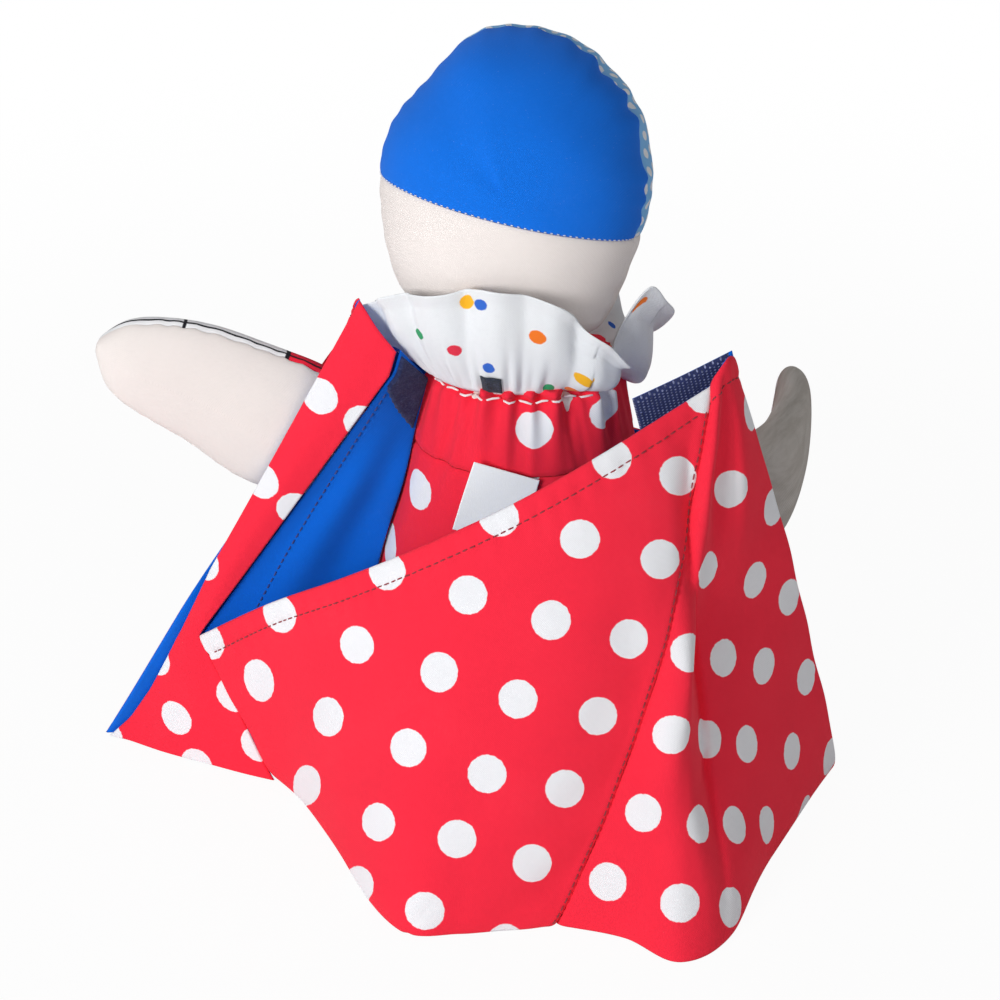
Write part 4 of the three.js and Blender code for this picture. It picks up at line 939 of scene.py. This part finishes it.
def make_arms():
    """Both mittens: cream backs, the right one greyed by painted shade, printed fronts and their filling."""
    cream = cotton("arm_cream_cotton", plain(CREAM), 0.10, 0.03, 0.02)
    glove = cotton("glove_print", glove_print)
    fibre = filling_finish("arm_fibre", FIBRE_WHITE)
    # The right mitten's back is cream painted grey and streaked: painted shade for the shadow it lies in.
    shaded_cream = cotton("painted_shade_cream_cotton", painted_shade_cream, 0.14, 0.03, 0.02)
    turn = np.linspace(0, 2 * PI, 33)[:-1]
    for label, arm, back in (("left", LEFT_ARM, cream), ("right", RIGHT_ARM, shaded_cream)):
        body = f"{label}_arm"
        arm_half(f"{label}_mitten_back", arm, 1, back, body, f"{label}_arm_back", "cream_cotton")
        arm_half(f"{label}_mitten_front", arm, -1, glove, body, f"{label}_arm_front", "printed_front")
        middles, half, thick = arm_sections(arm, 60)
        across, deep = arm_axes(middles)
        wide = np.maximum(half - 3, 0)[:, None, None] * np.cos(turn)[None, :, None]
        tall = np.maximum(thick - 2.6, 0)[:, None, None] * np.sin(turn)[None, :, None]
        fill = arm["root"] + middles[:, None] * 0.97 + across[:, None] * wide + deep[:, None] * tall
        filling = blob(f"{label}_mitten_filling", fill, fibre, body, [f"{label}_arm_stuffing"])


# Tunic: stations of the cloth as (top, hem, bulge halfway)

LEFT_TOP, LEFT_HEM = np.array([-53.6, -12, 191.4]), np.array([-154.3, 4.6, 0])
LEFT_BULGE = np.array([0, -5.0, 0])
OPENING_TOP, OPENING_FOOT = np.array([-43.4, -20, 166.4]), np.array([-115.1, -8, 52.6])
OPENING_PEAK, PEAK_SHARE, FOOT_SHARE = np.array([-41.0, -20, 175.4]), 0.06, 0.75
CENTRE_BACK_HEM = np.array([-88.5, -24.9, 0])
SIDE_SEAM = [[66.4, -42, 174.2], [13.6, -114.3, 0], [8.5, -5, 0]]
BACK = np.array([
    [OPENING_FOOT, CENTRE_BACK_HEM, [0, 0, 0]], [[-87.2, -31, 80.6], [-73, -50, 0], [0, 0, 0]],
    [[-59.3, -48, 101.8], [-57, -88, 0], [0, -1, 0]], [[-32.8, -59, 120.5], [-40, -118, 0], [2, -3, 0]],
    [[-2, -65, 140.5], [-20, -119, 0], [5, -4, 0]], [[28.2, -61, 157.7], [-3, -117, 0], [7.5, -5, 0]],
    SIDE_SEAM], float)
SIDE = np.array([
    SIDE_SEAM, [[68.4, -41, 178.8], [36, -121.5, 0], [7, -4, 0]],
    [[70.2, -39.5, 181.2], [56, -135, 0], [1, 12, 0]], [[71.6, -37, 181.8], [76, -118, 0], [3, 10, 0]],
    [[72.6, -34, 181], [92, -74, 0], [4, -2, 0]],
    [[73.4, -31, 179.5], [119.8, -16.5, 0], [2.5, 0, 0]]], float)
FRONT = np.array([
    [[-53.6, -11.5, 191.4], [-154.3, 5.1, 0], [8, 28, 0]], [[-54, 14, 172], [-138, 46, 0], [6, 20, 0]],
    [[-36, 44, 154], [-104, 76, 0], [0, 10, 0]], [[2, 50, 141], [-52, 116, 0], [0, 3, 0]],
    [[34, 46, 114], [10, 104, 0], [0, 0, 0]], [[60, 38, 112], [66, 116, 0], [0, 3, 0]],
    [[76, 26, 136], [100, 60, 0], [-4, 6, 0]]], float)
SIDE_FOLD = np.array([
    # share of the way down, place across from the seam, depth
    [0.0, -15, 0], [0.045, -12, 0.6], [0.137, -7, 3], [0.264, -1, 5], [0.379, 6, 8], [0.529, 20, 11],
    [0.667, 29, 12], [0.748, 34, 11], [0.828, 43, 7], [0.897, 53, 3], [1.0, 66, 0]])
FOLD_WAY, VALLEY_AT = np.array([-0.2, 0.98, 0]), 5
STRIP_INSET = np.array([
    # share of the way down, how far the strip's left edge is set in
    [0, 0], [0.2, 0.5], [0.46, 1.4], [0.575, 1.8], [0.725, 4.7], [0.874, 6.4], [0.95, 5.5], [1.0, 2.0]])
BEND_SHARE, VIEW_SLOPE = 0.04, 0.577
LIP_OFF, TUCK_OFF = np.array([0, 1.9, 0]), np.array([9.0, 2.6, 0])
STRAP_PATH = np.array([
    [77.3, -40, 141], [77.0, -26, 142.6], [74.5, -2, 143], [73.4, 23, 135.6], [73.2, 26.6, 131.6]])
STRAP_WIDTHS = np.array([
    # share of the way along, width
    [0, 13], [0.6, 13], [1, 8]])
STRAP_SEWN = np.array([
    # x and y of the side panel's inner face
    [71, -46.2], [74, -45.0], [77, -43.8], [79, -41.5], [81, -37.3], [83, -32.3]])
TOPSTITCH_IN = 8.0
LAYER_NEAR, LAYER_FAR = 0.12, 0.85
SIDE_FLAT_START = 400.0
DOWN = edged(84)


def opening_edge(along):
    """Straight open edge of the strip from along 0 to 1, turning up to its peak below 0."""
    straight = OPENING_TOP + (OPENING_FOOT - OPENING_TOP) * np.maximum(along, 0)
    return straight + (OPENING_PEAK - OPENING_TOP) * np.clip(-along / PEAK_SHARE, 0, 1)


def left_edge():
    """Left edge of the tunic from top to hem: a straight line plus a bulge."""
    v = DOWN[:, None]
    return LEFT_TOP + (LEFT_HEM - LEFT_TOP) * v + LEFT_BULGE * 4 * v * (1 - v)


def panel_grid(stations, across):
    """Cloth through stations: smooth curves along the top, hem and bulge; straight down plus the bulge."""
    top, hem, bulge = (through(stations[:, k], across)[None] for k in range(3))
    v = DOWN[:, None, None]
    return top + (hem - top) * v + bulge * 4 * v * (1 - v)


def tunic_panel(label, middle, normals, flat, outer_finish, lining_finish):
    """Outer cloth and lining of one panel, on either side of its middle surface, which the floor stops; they
    are turned together at the edges."""
    middle = np.concatenate([middle[..., :2], np.maximum(middle[..., 2:], 0.25)], -1)
    layers = cloth_layers(middle, normals, LAYER_NEAR, LAYER_FAR)
    nodes = [f"tunic_{label}_panel"]
    cloth = shell(f"tunic_{label}_cloth", *layers, outer_finish, "body", nodes, "dotted_red", flat)
    layers = cloth_layers(middle, normals, -LAYER_FAR, -LAYER_NEAR)
    nodes = [f"tunic_{label}_lining"]
    lining = shell(f"tunic_{label}_inside", *layers, lining_finish, "body", nodes, "lining_blue", flat)


def seam_relief(distance, run):
    """Relief beside a topstitched edge: a fuller band, a groove under the thread, small puckers along it."""
    band = 0.45 * step(TOPSTITCH_IN - 0.6, TOPSTITCH_IN - 2.5, distance) * step(0, 2, distance)
    groove = 0.35 * hump(distance, TOPSTITCH_IN, 0.9)
    pucker = 0.28 * np.cos(2 * PI * run / 8.5 + 1.3 * np.sin(run / 13)) * hump(distance, TOPSTITCH_IN, 6)
    return band - groove + pucker


def on_grid(grid, rows, columns):
    """Points of a grid at fractional rows and columns."""
    r0, c0 = np.floor(rows).astype(int), np.floor(columns).astype(int)
    r0, c0 = np.clip(r0, 0, grid.shape[0] - 2), np.clip(c0, 0, grid.shape[1] - 2)
    fr, fc = (rows - r0)[:, None], (columns - c0)[:, None]
    upper = grid[r0, c0] * (1 - fc) + grid[r0, c0 + 1] * fc
    lower = grid[r0 + 1, c0] * (1 - fc) + grid[r0 + 1, c0 + 1] * fc
    return upper * (1 - fr) + lower * fr


def rows_at(down, distance):
    """Fractional row of each column at a distance in mm below the top edge."""
    index = np.arange(down.shape[0])
    return np.array([np.interp(distance, down[:, k], index) for k in range(down.shape[1])])


def sew(name, middle, normals, rows, columns, thread):
    """Topstitching on the outer cloth along fractional rows and columns of a panel."""
    line = on_grid(middle + normals * (LAYER_FAR - 0.05), rows, columns)
    lift = on_grid(normals, rows, columns)
    stitches(name, line, lift, thread, "body", pitch=3.1, length=2.45, radius=0.27)


def folded_side(both, from_seam):
    """Back and side with the side's deep fold: past the fold's place the cloth drops back by its depth and
    comes forward again towards the far edge; lower down it is drawn taut from the valley on."""
    fold_at, fold_depth = (np.interp(DOWN, SIDE_FOLD[:, 0], SIDE_FOLD[:, k])[:, None] for k in (1, 2))
    beyond = from_seam - fold_at
    rest = np.clip((beyond - 3) / np.maximum(beyond[:, -1:] - 3, 5), 0, 1)
    drop = step(-8, 4, beyond) * (1 - rest) + 0.3 * hump(beyond, 1.5, 2.6) - 0.18 * hump(beyond, -15, 8)
    both = both + FOLD_WAY * (fold_depth * drop)[..., None]
    valley = np.array([[np.interp(VALLEY_AT, place, row[:, k]) for k in range(3)]
                       for place, row in zip(beyond, both)])[:, None]
    share = np.clip((beyond - VALLEY_AT) / np.maximum(beyond[:, -1:] - VALLEY_AT, 5), 0, 1)
    chord = valley + (both[:, -1:] - valley) * share[..., None]
    taut = 0.75 * (step(0.2, 0.4, DOWN) * step(1.0, 0.86, DOWN))[:, None] * (beyond > VALLEY_AT)
    return both + (chord - both) * taut[..., None]


def back_and_side_relief(from_seam, along, fall):
    """Relief of back and side: the topstitched rim, a groove and a ridge at the seam, the hem turned in, slow
    waves, and one crease low on the back."""
    relief = seam_relief(fall, along)
    relief = relief - 0.7 * hump(from_seam, 0, 1.2) + 0.3 * hump(from_seam, -2.2, 1.6)
    relief = relief - 2.2 * np.exp(-(fall[-1:] - fall) / 3.0)
    relief = relief + 0.55 * ripple(along, fall, 11) * step(6, 30, fall)
    crease = hump(from_seam + 62 + 0.55 * (fall - 150), 0, 3) * step(120, 150, fall) * step(200, 175, fall)
    return relief - 0.9 * crease


def make_back_and_side(dotted, blue, thread):
    """Back and side panels, worked out as one cloth and parted at their seam, and their topstitching."""
    back, side = panel_grid(BACK, edged(150)), panel_grid(SIDE, edged(110))
    seam = back.shape[1] - 1
    both = np.concatenate([back, side[:, 1:]], 1)
    along, fall = lengths(both, 1), lengths(both, 0)
    from_seam = along - along[:, seam:seam + 1]
    both = folded_side(both, from_seam)
    both = both + normals_of(both) * back_and_side_relief(from_seam, along, fall)[..., None]
    normals = normals_of(both)
    flat = lay_flat(both, (1, 0, 0), (0, 0.5, 0.866), seam, 0.3)
    side_flat = lay_flat(both[:, seam:], (1, 0.4, 0), (0, 0.2, 0.98), 20)
    side_flat = eased_flat(both[:, seam:], side_flat) + np.array([SIDE_FLAT_START, 0])
    left = slice(0, seam + 1)
    tunic_panel("back", both[:, left], normals[:, left], flat[:, left], dotted, blue)
    tunic_panel("side", both[:, seam:], normals[:, seam:], side_flat, dotted, blue)
    columns = np.arange(both.shape[1], dtype=float)
    rim = rows_at(fall, TOPSTITCH_IN)
    upper, peak = slice(4, seam - 3), slice(seam + 2, -4)
    sew("rim_stitches", both, normals, rim[upper], columns[upper], thread)
    tall = np.linspace(rim[seam], len(DOWN) - 1.5, 300)
    beside = np.array([np.interp(-1.9, from_seam[int(r)], columns) for r in tall])
    sew("seam_stitches", both, normals, tall, beside, thread)
    sew("peak_stitches", both, normals, rim[peak], columns[peak], thread)


def make_left_strip(dotted, blue):
    """Left panel: straight across from the tunic's left edge to the open edge, a little swollen between."""
    left, v = left_edge(), DOWN[:, None]
    left[:, 0] += np.interp(DOWN, *STRIP_INSET.T)
    beside = np.clip(v / FOOT_SHARE, 0, 1) * (1 + PEAK_SHARE) - PEAK_SHARE
    below = np.clip((v - FOOT_SHARE) / (1 - FOOT_SHARE), 0, 1)
    right = opening_edge(beside) + (CENTRE_BACK_HEM - OPENING_FOOT) * below
    strip = left[:, None] + (right - left)[:, None] * edged(40)[None, :, None]
    width, fall = lengths(strip, 1), lengths(strip, 0)
    relief = 0.5 * ripple(width, fall, 4) * step(0, 8, width) + 1.6 * hump(width / width[:, -1:], 0.5, 0.4)
    strip = strip + normals_of(strip) * relief[..., None]
    flat = lay_flat(strip, (1, 0, 0), (0, 0, 1), 22)
    tunic_panel("left", strip, normals_of(strip), flat, dotted, blue)


def tucked_front(front, share):
    """Front panel whose first columns are turned in: lower down its lip is pressed flat behind the left edge,
    the cloth runs from there to a tuck, and what lies beyond eases back to its own place."""
    bend, pressed = np.searchsorted(share, BEND_SHARE), step(0.42, 0.7, DOWN)[:, None]
    edge, start = left_edge(), front[:, bend]
    lip = start + (edge + LIP_OFF - start) * pressed
    tuck = start + (edge + TUCK_OFF - start) * pressed
    level = np.clip(DOWN - (lip[:, 1] - edge[:, 1]) * VIEW_SLOPE / LEFT_TOP[2], 0, 1)
    lip[:, 0] = LEFT_TOP[0] + (LEFT_HEM[0] - LEFT_TOP[0]) * level - 0.4 * step(0, 0.3, DOWN)
    near = lip[:, None] + (tuck - lip)[:, None] * (share / share[bend])[None, :, None]
    far = front + (tuck - start)[:, None] * step(0.2, BEND_SHARE, share)[None, :, None]
    turned_in = np.where((np.arange(len(share)) < bend)[None, :, None], near, far)
    return front + (turned_in - front) * step(0, 0.1, DOWN)[:, None, None]


def make_front(dotted, blue, thread):
    """Closed front panel with its topstitched top edge."""
    share = edged(150)
    front = tucked_front(panel_grid(FRONT, share), share)[:, ::-1]
    along, fall = lengths(front, 1), lengths(front, 0)
    relief = 0.8 * ripple(along, fall, 21) * step(0, 25, fall) + seam_relief(fall, along)
    front = front + normals_of(front) * relief[..., None]
    normals = normals_of(front)
    flat = eased_flat(front, lay_flat(front, (-1, 0, 0), (0, -0.4, 0.916), 75))
    tunic_panel("front", front, normals, flat, dotted, blue)
    columns = np.arange(front.shape[1], dtype=float)
    sew("front_rim_stitches", front, normals, rows_at(fall, TOPSTITCH_IN)[4:-4], columns[4:-4], thread)


def make_shoulder_strap(dotted):
    """Strap over the right shoulder: a band along a smooth path, narrower in front, whose end at the back is
    cut to the side panel's inner face."""
    run = edged(52)
    line = through(STRAP_PATH, run)
    way = unit(np.gradient(line, axis=0))
    across_way = unit(np.array([1.0, 0, 0]) - way * way[:, :1])
    share = (edged(14) - 0.5)[:, None, None]
    strap = line[None] + across_way[None] * share * np.interp(run, *STRAP_WIDTHS.T)[None, :, None]
    sewn = np.interp(strap[:, :1, 0], *STRAP_SEWN.T)
    strap[..., 1] += (sewn - strap[:, :1, 1]) * step(0.3, 0, run)
    normals = normals_of(strap)
    normals = normals * np.where(normals[..., 2:] < 0, -1, 1)
    layers = cloth_layers(strap, normals, -1.0, 1.0)
    flat = measured_flat(strap)[..., ::-1]
    piece = shell("shoulder_band", *layers, dotted, "body", ["tunic_shoulder_strap"], "dotted_red", flat)


def make_tunic():
    """Back and side panels with their stitched seam, left strip, front panel and shoulder strap."""
    front_print = lattice_dots(FRONT_STEP_A, FRONT_STEP_B, FRONT_DOTS)
    front_dotted = cotton("front_dotted_red", front_print, crumple=CRUMPLE)
    blue = cotton("lining_blue_cotton", plain(LINING_BLUE), 0.10, 0.03, 0.03)
    thread = thread_finish("dark_red_thread", rgb(140, 14, 32))
    make_back_and_side(dotted_red("tunic_dotted_red", TUNIC_DOTS), blue, thread)
    make_left_strip(dotted_red("strip_dotted_red", STRIP_DOTS), blue)
    make_front(front_dotted, blue, thread)
    make_shoulder_strap(front_dotted)


# Closure and label

UNDERLAP_SIDE, UNDERLAP_TOP, UNDERLAP_FOOT = math.radians(191), 157.5, 50
TAB_START, TAB_LONG, TAB_WIDE = np.array([73.9, -29.2, 180.9]), 38, 14
TAB_ALONG, TAB_FALL = unit(np.array([-0.9, -0.178, -0.4])), unit(np.array([0.23, 0.08, -0.97]))
TAB_FACING = unit(np.cross(TAB_ALONG, TAB_FALL))
LABEL_WIDE, LABEL_LONG, LABEL_MIDDLE, LABEL_BACK = 24, 25, -3, -32.9
LABEL_LEAN, LABEL_TILT = math.radians(12), math.radians(18)


def underlap(along, across):
    """Ruled cloth from the open edge of the left strip to the side of the body, with two soft folds."""
    outer = opening_edge(along) + np.array([1.2, 1.65, 0])
    height = UNDERLAP_TOP + (UNDERLAP_FOOT - UNDERLAP_TOP) * np.maximum(along[..., 0], 0)
    inner = torso(height, np.full_like(height, UNDERLAP_SIDE), 1.1)
    place = outer + (inner - outer) * across
    fold = 1.5 * np.sin(PI * across) * np.sin(2 * PI * across * 1.4 + 2.0 * along) * step(0.1, 0.5, along)
    return place + fold * np.array([0.1, 1.0, 0.2])


def make_underlap(blue):
    """Blue underlap, the loop tape across its top with a frayed lower edge, and a row of stitches."""
    rows = edged(70) * (1 + PEAK_SHARE) - PEAK_SHARE
    grid = underlap(rows[:, None, None], edged(44)[None, :, None])
    layers = cloth_layers(grid, normals_of(grid), -0.4, 0.4)
    flat = lay_flat(grid, (1, 0, 0), (0, 0, 1), 20)
    piece = shell("underlap_cloth", *layers, blue, "body", ["underlap"], "lining_blue", flat)
    share, across = np.linspace(0, 1, 40)[:, None, None], np.linspace(0.05, 0.94, 36)[None, :, None]
    fray = 0.0025 * np.sin(57 * across) + 0.002 * np.sin(131 * across + 1)
    tape = underlap(-0.05 + share * (0.09 + 0.15 * across + fray), across + 0 * share)
    layers = cloth_layers(tape, normals_of(tape), 0.5, 1.8)
    flat, loops = lay_flat(tape, (1, 0, 0), (0, 0, 1), 10), loop_pile("navy_loop_tape", NAVY)
    piece = shell("underlap_loop_tape", *layers, loops, "body", ["loop_tape"], "navy_tape", flat)
    share = np.linspace(0.0, 0.97, 300)[:, None]
    line = underlap(share, 0.13 + 0.1 * share)
    lift = np.broadcast_to(unit(np.array([0.3, -0.95, 0.1])), line.shape)
    line = line + lift * 0.35
    thread = thread_finish("blue_thread", rgb(8, 50, 130))
    stitches("underlap_stitches", line, lift, thread, "body", pitch=3.1, length=2.4, radius=0.34)


def tab_strip(first, columns, rows):
    """Flat strip back from the fold, a little bowed along its length."""
    run = np.linspace(first, TAB_LONG, columns)[None, :, None]
    fall = np.linspace(0, TAB_WIDE, rows)[:, None, None]
    return TAB_START + TAB_ALONG * run + TAB_FALL * fall + TAB_FACING * 0.5 * np.sin(PI * run / TAB_LONG)


def make_tab(blue):
    """Rolled fold at the tunic's edge, with blunt ends, the tab folded back from it and its hook tape."""
    turn = np.linspace(0, 2 * PI, 20, endpoint=False)[None, :, None]
    fall = np.linspace(0, 1, 16)[:, None, None]
    radius = 0.95 * np.sqrt(np.maximum(1 - (2 * fall - 1) ** 8, 0))
    rim = (TAB_ALONG * np.cos(turn) + TAB_FACING * np.sin(turn)) * radius
    middle = TAB_START + np.array([0, -0.9, 0]) + TAB_ALONG * 0.9 + TAB_FALL * (2.2 + 11.3 * fall)
    blob("tab_fold_roll", middle + rim, blue, "body")
    strap = tab_strip(0.2, 60, 24)
    layers = cloth_layers(strap, np.broadcast_to(TAB_FACING, strap.shape), -0.3, 0.9)
    piece = shell("tab_cloth", *layers, blue, "tab", ["tab_strap"], "lining_blue", measured_flat(strap))
    tape, hooks = tab_strip(1.5, 50, 20), hook_rows("navy_hook_tape", NAVY)
    layers = cloth_layers(tape, np.broadcast_to(TAB_FACING, tape.shape), 1.1, 2.4, round_edge=0.5)
    piece = shell("tab_hook_tape", *layers, hooks, "tab", ["hook_tape"], "navy_tape", measured_flat(tape))


def make_closure():
    """Underlap at the left and tab at the right, of one blue cloth."""
    blue = cotton("underlap_blue_cotton", plain(LINING_BLUE), 0.10, 0.03, 0.03)
    make_underlap(blue)
    make_tab(blue)


def make_label():
    """Bare woven label sewn into the yoke seam: a ribbon folded in two that stands off and curls a little."""
    u, v = (edged(30) - 0.5)[None, :], edged(30)[:, None]
    across, length = LABEL_WIDE * u, LABEL_LONG * v
    away = 0.3 + length * math.sin(LABEL_LEAN) + 1.2 * (2 * u) ** 2 * v - 1.0 * np.sin(PI * v)
    away = away + 0.22 * (across + LABEL_WIDE / 2) * v
    fall = -length * math.cos(LABEL_LEAN)
    x = LABEL_MIDDLE + across * math.cos(LABEL_TILT) + fall * math.sin(LABEL_TILT)
    z = YOKE_SEAM + (LABEL_WIDE / 2 - across) * math.sin(LABEL_TILT) + fall * math.cos(LABEL_TILT)
    grid = np.stack(np.broadcast_arrays(x, LABEL_BACK - away, z), -1)
    layers = cloth_layers(grid, normals_of(grid), -0.35, 0.35, round_edge=0.4)
    flat = np.stack(np.broadcast_arrays(across, length), -1)
    finish = cotton("white_label_ribbon", plain(rgb(252, 254, 255)), 0.06, 0.05, 0.02)
    piece = shell("care_ribbon", *layers, finish, "body", ["care_label"], "white_thread", flat)


# Places of printed dots on the flat cloth, in mm; the side panel's flat cloth starts at SIDE_FLAT_START

FRONT_STEP_A, FRONT_STEP_B, FRONT_DOTS = (28.0, -7.9), (-10.8, -26.5), (12.0, 20.0)
BODY_STEP_A, BODY_STEP_B, BODY_DOTS = (27.5, -9.0), (-15.9, -25.7), (-40.6, 118.5)
YOKE_DOTS = [(6.4, 149.4), (33.6, 152.4)]
TUNIC_DOTS = [
    (11.5, 49.9), (38.0, 43.8), (-16.7, 58.2), (-45.8, 65.6), (21.1, 77.5), (48.1, 70.5), (-6.0, 84.8),
    (31.8, 104.5), (-26.6, 31.7), (0.6, 23.4), (27.6, 17.6), (-57.6, 39.6), (-88.2, 48.9), (-69.6, 14.9),
    (-37.3, 5.7), (-9.9, -2.4), (16.4, -7.5), (-100.1, 25.4), (-80.1, -7.9), (-48.4, -20.4), (-20.2, -25.0),
    (5.3, -33.4), (-31.3, -50.2), (54.4, 99.0), (63.3, 127.0), (-56.6, -42.6), (-3.8, -61.6), (-120.2, 36.7),
    (416.2, 46.7), (403.5, 20.5), (387.3, -2.1), (412.3, -12.0), (455.8, 125.9), (470.1, 150.4),
    (443.9, 99.0), (473.6, 89.0), (495.3, 78.0), (425.9, 73.6), (456.4, 64.3), (478.8, 56.5), (509.3, 45.3),
    (443.4, 38.3), (463.9, 31.6), (495.0, 21.4), (529.6, 10.4), (425.1, 12.9), (446.0, 6.9), (469.0, 1.0),
    (507.3, -4.6), (433.3, -18.6), (483.2, 113.4)]
STRIP_DOTS = [(-68.1, 155.6), (-90.1, 119.8), (-113.4, 82.5), (-134.5, 37.5), (-125.6, 16.3), (-53.1, 147.2),
              (-78.1, 110.3), (-101.9, 31.5), (-92.0, 13.9), (-117.2, -1.0), (-156.6, -0.3)]
ORANGE, AMBER, GREEN = rgb(244, 122, 36), rgb(248, 184, 36), rgb(38, 158, 100)
POPPY, DOT_BLUE = rgb(228, 50, 74), rgb(48, 104, 206)
COLLAR_ROUND = [(14.0 + 7.3 * k, 5.0 + (k * 13.7) % 26) for k in range(13)]
COLLAR_DOTS = [
    (AMBER, 2.5, [(-70.6, 33.6), (-34.7, 15.5), *COLLAR_ROUND[0::5]]),
    (DOT_BLUE, 2.0, [(-65.8, 32.9), (-64.6, 10.9), (-104.0, 12.0), *COLLAR_ROUND[1::5]]),
    (GREEN, 2.2, [(-88.0, 21.7), (-43.7, 3.1), *COLLAR_ROUND[2::5]]),
    (POPPY, 2.1, [(-75.6, 17.1), *COLLAR_ROUND[3::5]]),
    (ORANGE, 2.4, [(-49.5, 24.2), (-35.3, 5.0), *COLLAR_ROUND[4::5]]), (ORANGE, 1.6, [(-10.0, 32.2)])]


# Stage, in metres

WORLD_LIGHT = 0.30
LAMPS = [
    # name, place, size, power
    ("key", (-0.95, -1.2, 0.62), 0.6, 16.0), ("fill", (0.5, -1.4, 0.8), 0.9, 2.6),
    ("back", (-0.4, 1.3, 1.0), 0.9, 2.5)]
LAMP_AIM = np.array([0.0, 0.0, 0.11])
FLOOR_CORNERS, FLOOR_LEVEL = [(-4, -4), (4, -4), (4, 6), (-4, 6)], -0.0004
CAMERA_AIM, CAMERA_REACH, CAMERA_RISE = (-0.0054, 0.105), 1.2, PI / 6
LENS_MM, SENSOR_MM = 120, 36


def looking_ray(wire):
    """1 for a ray from the camera, or one mirrored or let through by a surface; 0 for light on the doll."""
    path = wire.tree.nodes.new("ShaderNodeLightPath")
    kinds = (Wire(wire.tree, path.outputs[f"Is {kind} Ray"]) for kind in ("Camera", "Glossy", "Transmission"))
    camera, mirror, through_ray = kinds
    return camera.math("MAXIMUM", mirror).math("MAXIMUM", through_ray)


def make_floor():
    """Pale floor that keeps a soft shadow: looked at it glows, wholly far out and nearly so by the doll."""
    mesh = bpy.data.meshes.new("floor")
    mesh.from_pydata([(x, y, FLOOR_LEVEL) for x, y in FLOOR_CORNERS], [], [(0, 1, 2, 3)])
    floor = bpy.data.objects.new("floor", mesh)
    bpy.context.scene.collection.objects.link(floor)
    material, wire = new_finish("pale_floor")
    shader = material.node_tree.nodes["Principled BSDF"]
    shader.inputs["Base Color"].default_value = (0.86, 0.86, 0.87, 1)
    shader.inputs["Roughness"].default_value = 0.9
    glow = wire.node("ShaderNodeEmission", None, {"Color": (1, 1, 1, 1), "Strength": 1.0})
    away = wire.node("ShaderNodeVectorMath", {"operation": "LENGTH"}, {0: object_place(wire)}, 1)
    share = looking_ray(wire) * (away.ramp(0.25, 0.7) * 0.05 + 0.95)
    mixed = wire.node("ShaderNodeMixShader", None, {0: share, 2: glow})
    material.node_tree.links.new(shader.outputs[0], mixed.socket.node.inputs[1])
    material.node_tree.links.new(mixed.socket, material.node_tree.nodes["Material Output"].inputs["Surface"])
    mesh.materials.append(material)


def make_light():
    """White surroundings, dimmer as light than as background, a large soft key light and two fills."""
    world = bpy.data.worlds.new("studio")
    bpy.context.scene.world = world
    world.use_nodes = True
    sky = world.node_tree.nodes["Background"]
    strength = looking_ray(Wire(world.node_tree)) * (1 - WORLD_LIGHT) + WORLD_LIGHT
    world.node_tree.links.new(strength.socket, sky.inputs["Strength"])
    sky.inputs["Color"].default_value = (1, 1, 1, 1)
    for name, place, size, power in LAMPS:
        lamp = bpy.data.lights.new(name, "AREA")
        lamp.shape, lamp.size, lamp.energy = "DISK", size, power
        light = bpy.data.objects.new(name, lamp)
        light.location = place
        light.rotation_euler = Vector(LAMP_AIM - np.array(place)).to_track_quat("-Z", "Y").to_euler()
        bpy.context.scene.collection.objects.link(light)


def make_camera():
    """Camera at the photograph's angle: 30 degrees above the floor, straight behind the doll, long lens."""
    lens = bpy.data.cameras.new("camera")
    lens.lens, lens.sensor_width = LENS_MM, SENSOR_MM
    camera = bpy.data.objects.new("camera", lens)
    back, up = CAMERA_REACH * math.cos(CAMERA_RISE), CAMERA_REACH * math.sin(CAMERA_RISE)
    camera.location = (CAMERA_AIM[0], -back, CAMERA_AIM[1] + up)
    camera.rotation_euler = (PI / 2 - CAMERA_RISE, 0, 0)
    bpy.context.scene.collection.objects.link(camera)
    bpy.context.scene.camera = camera


make_body()
make_body_inside()
make_neck_thread()
make_collar()
make_head()
make_head_inside()
make_arms()
make_tunic()
make_closure()
make_label()
make_floor()
make_light()
make_camera()
bpy.context.scene.view_settings.view_transform = "Standard"
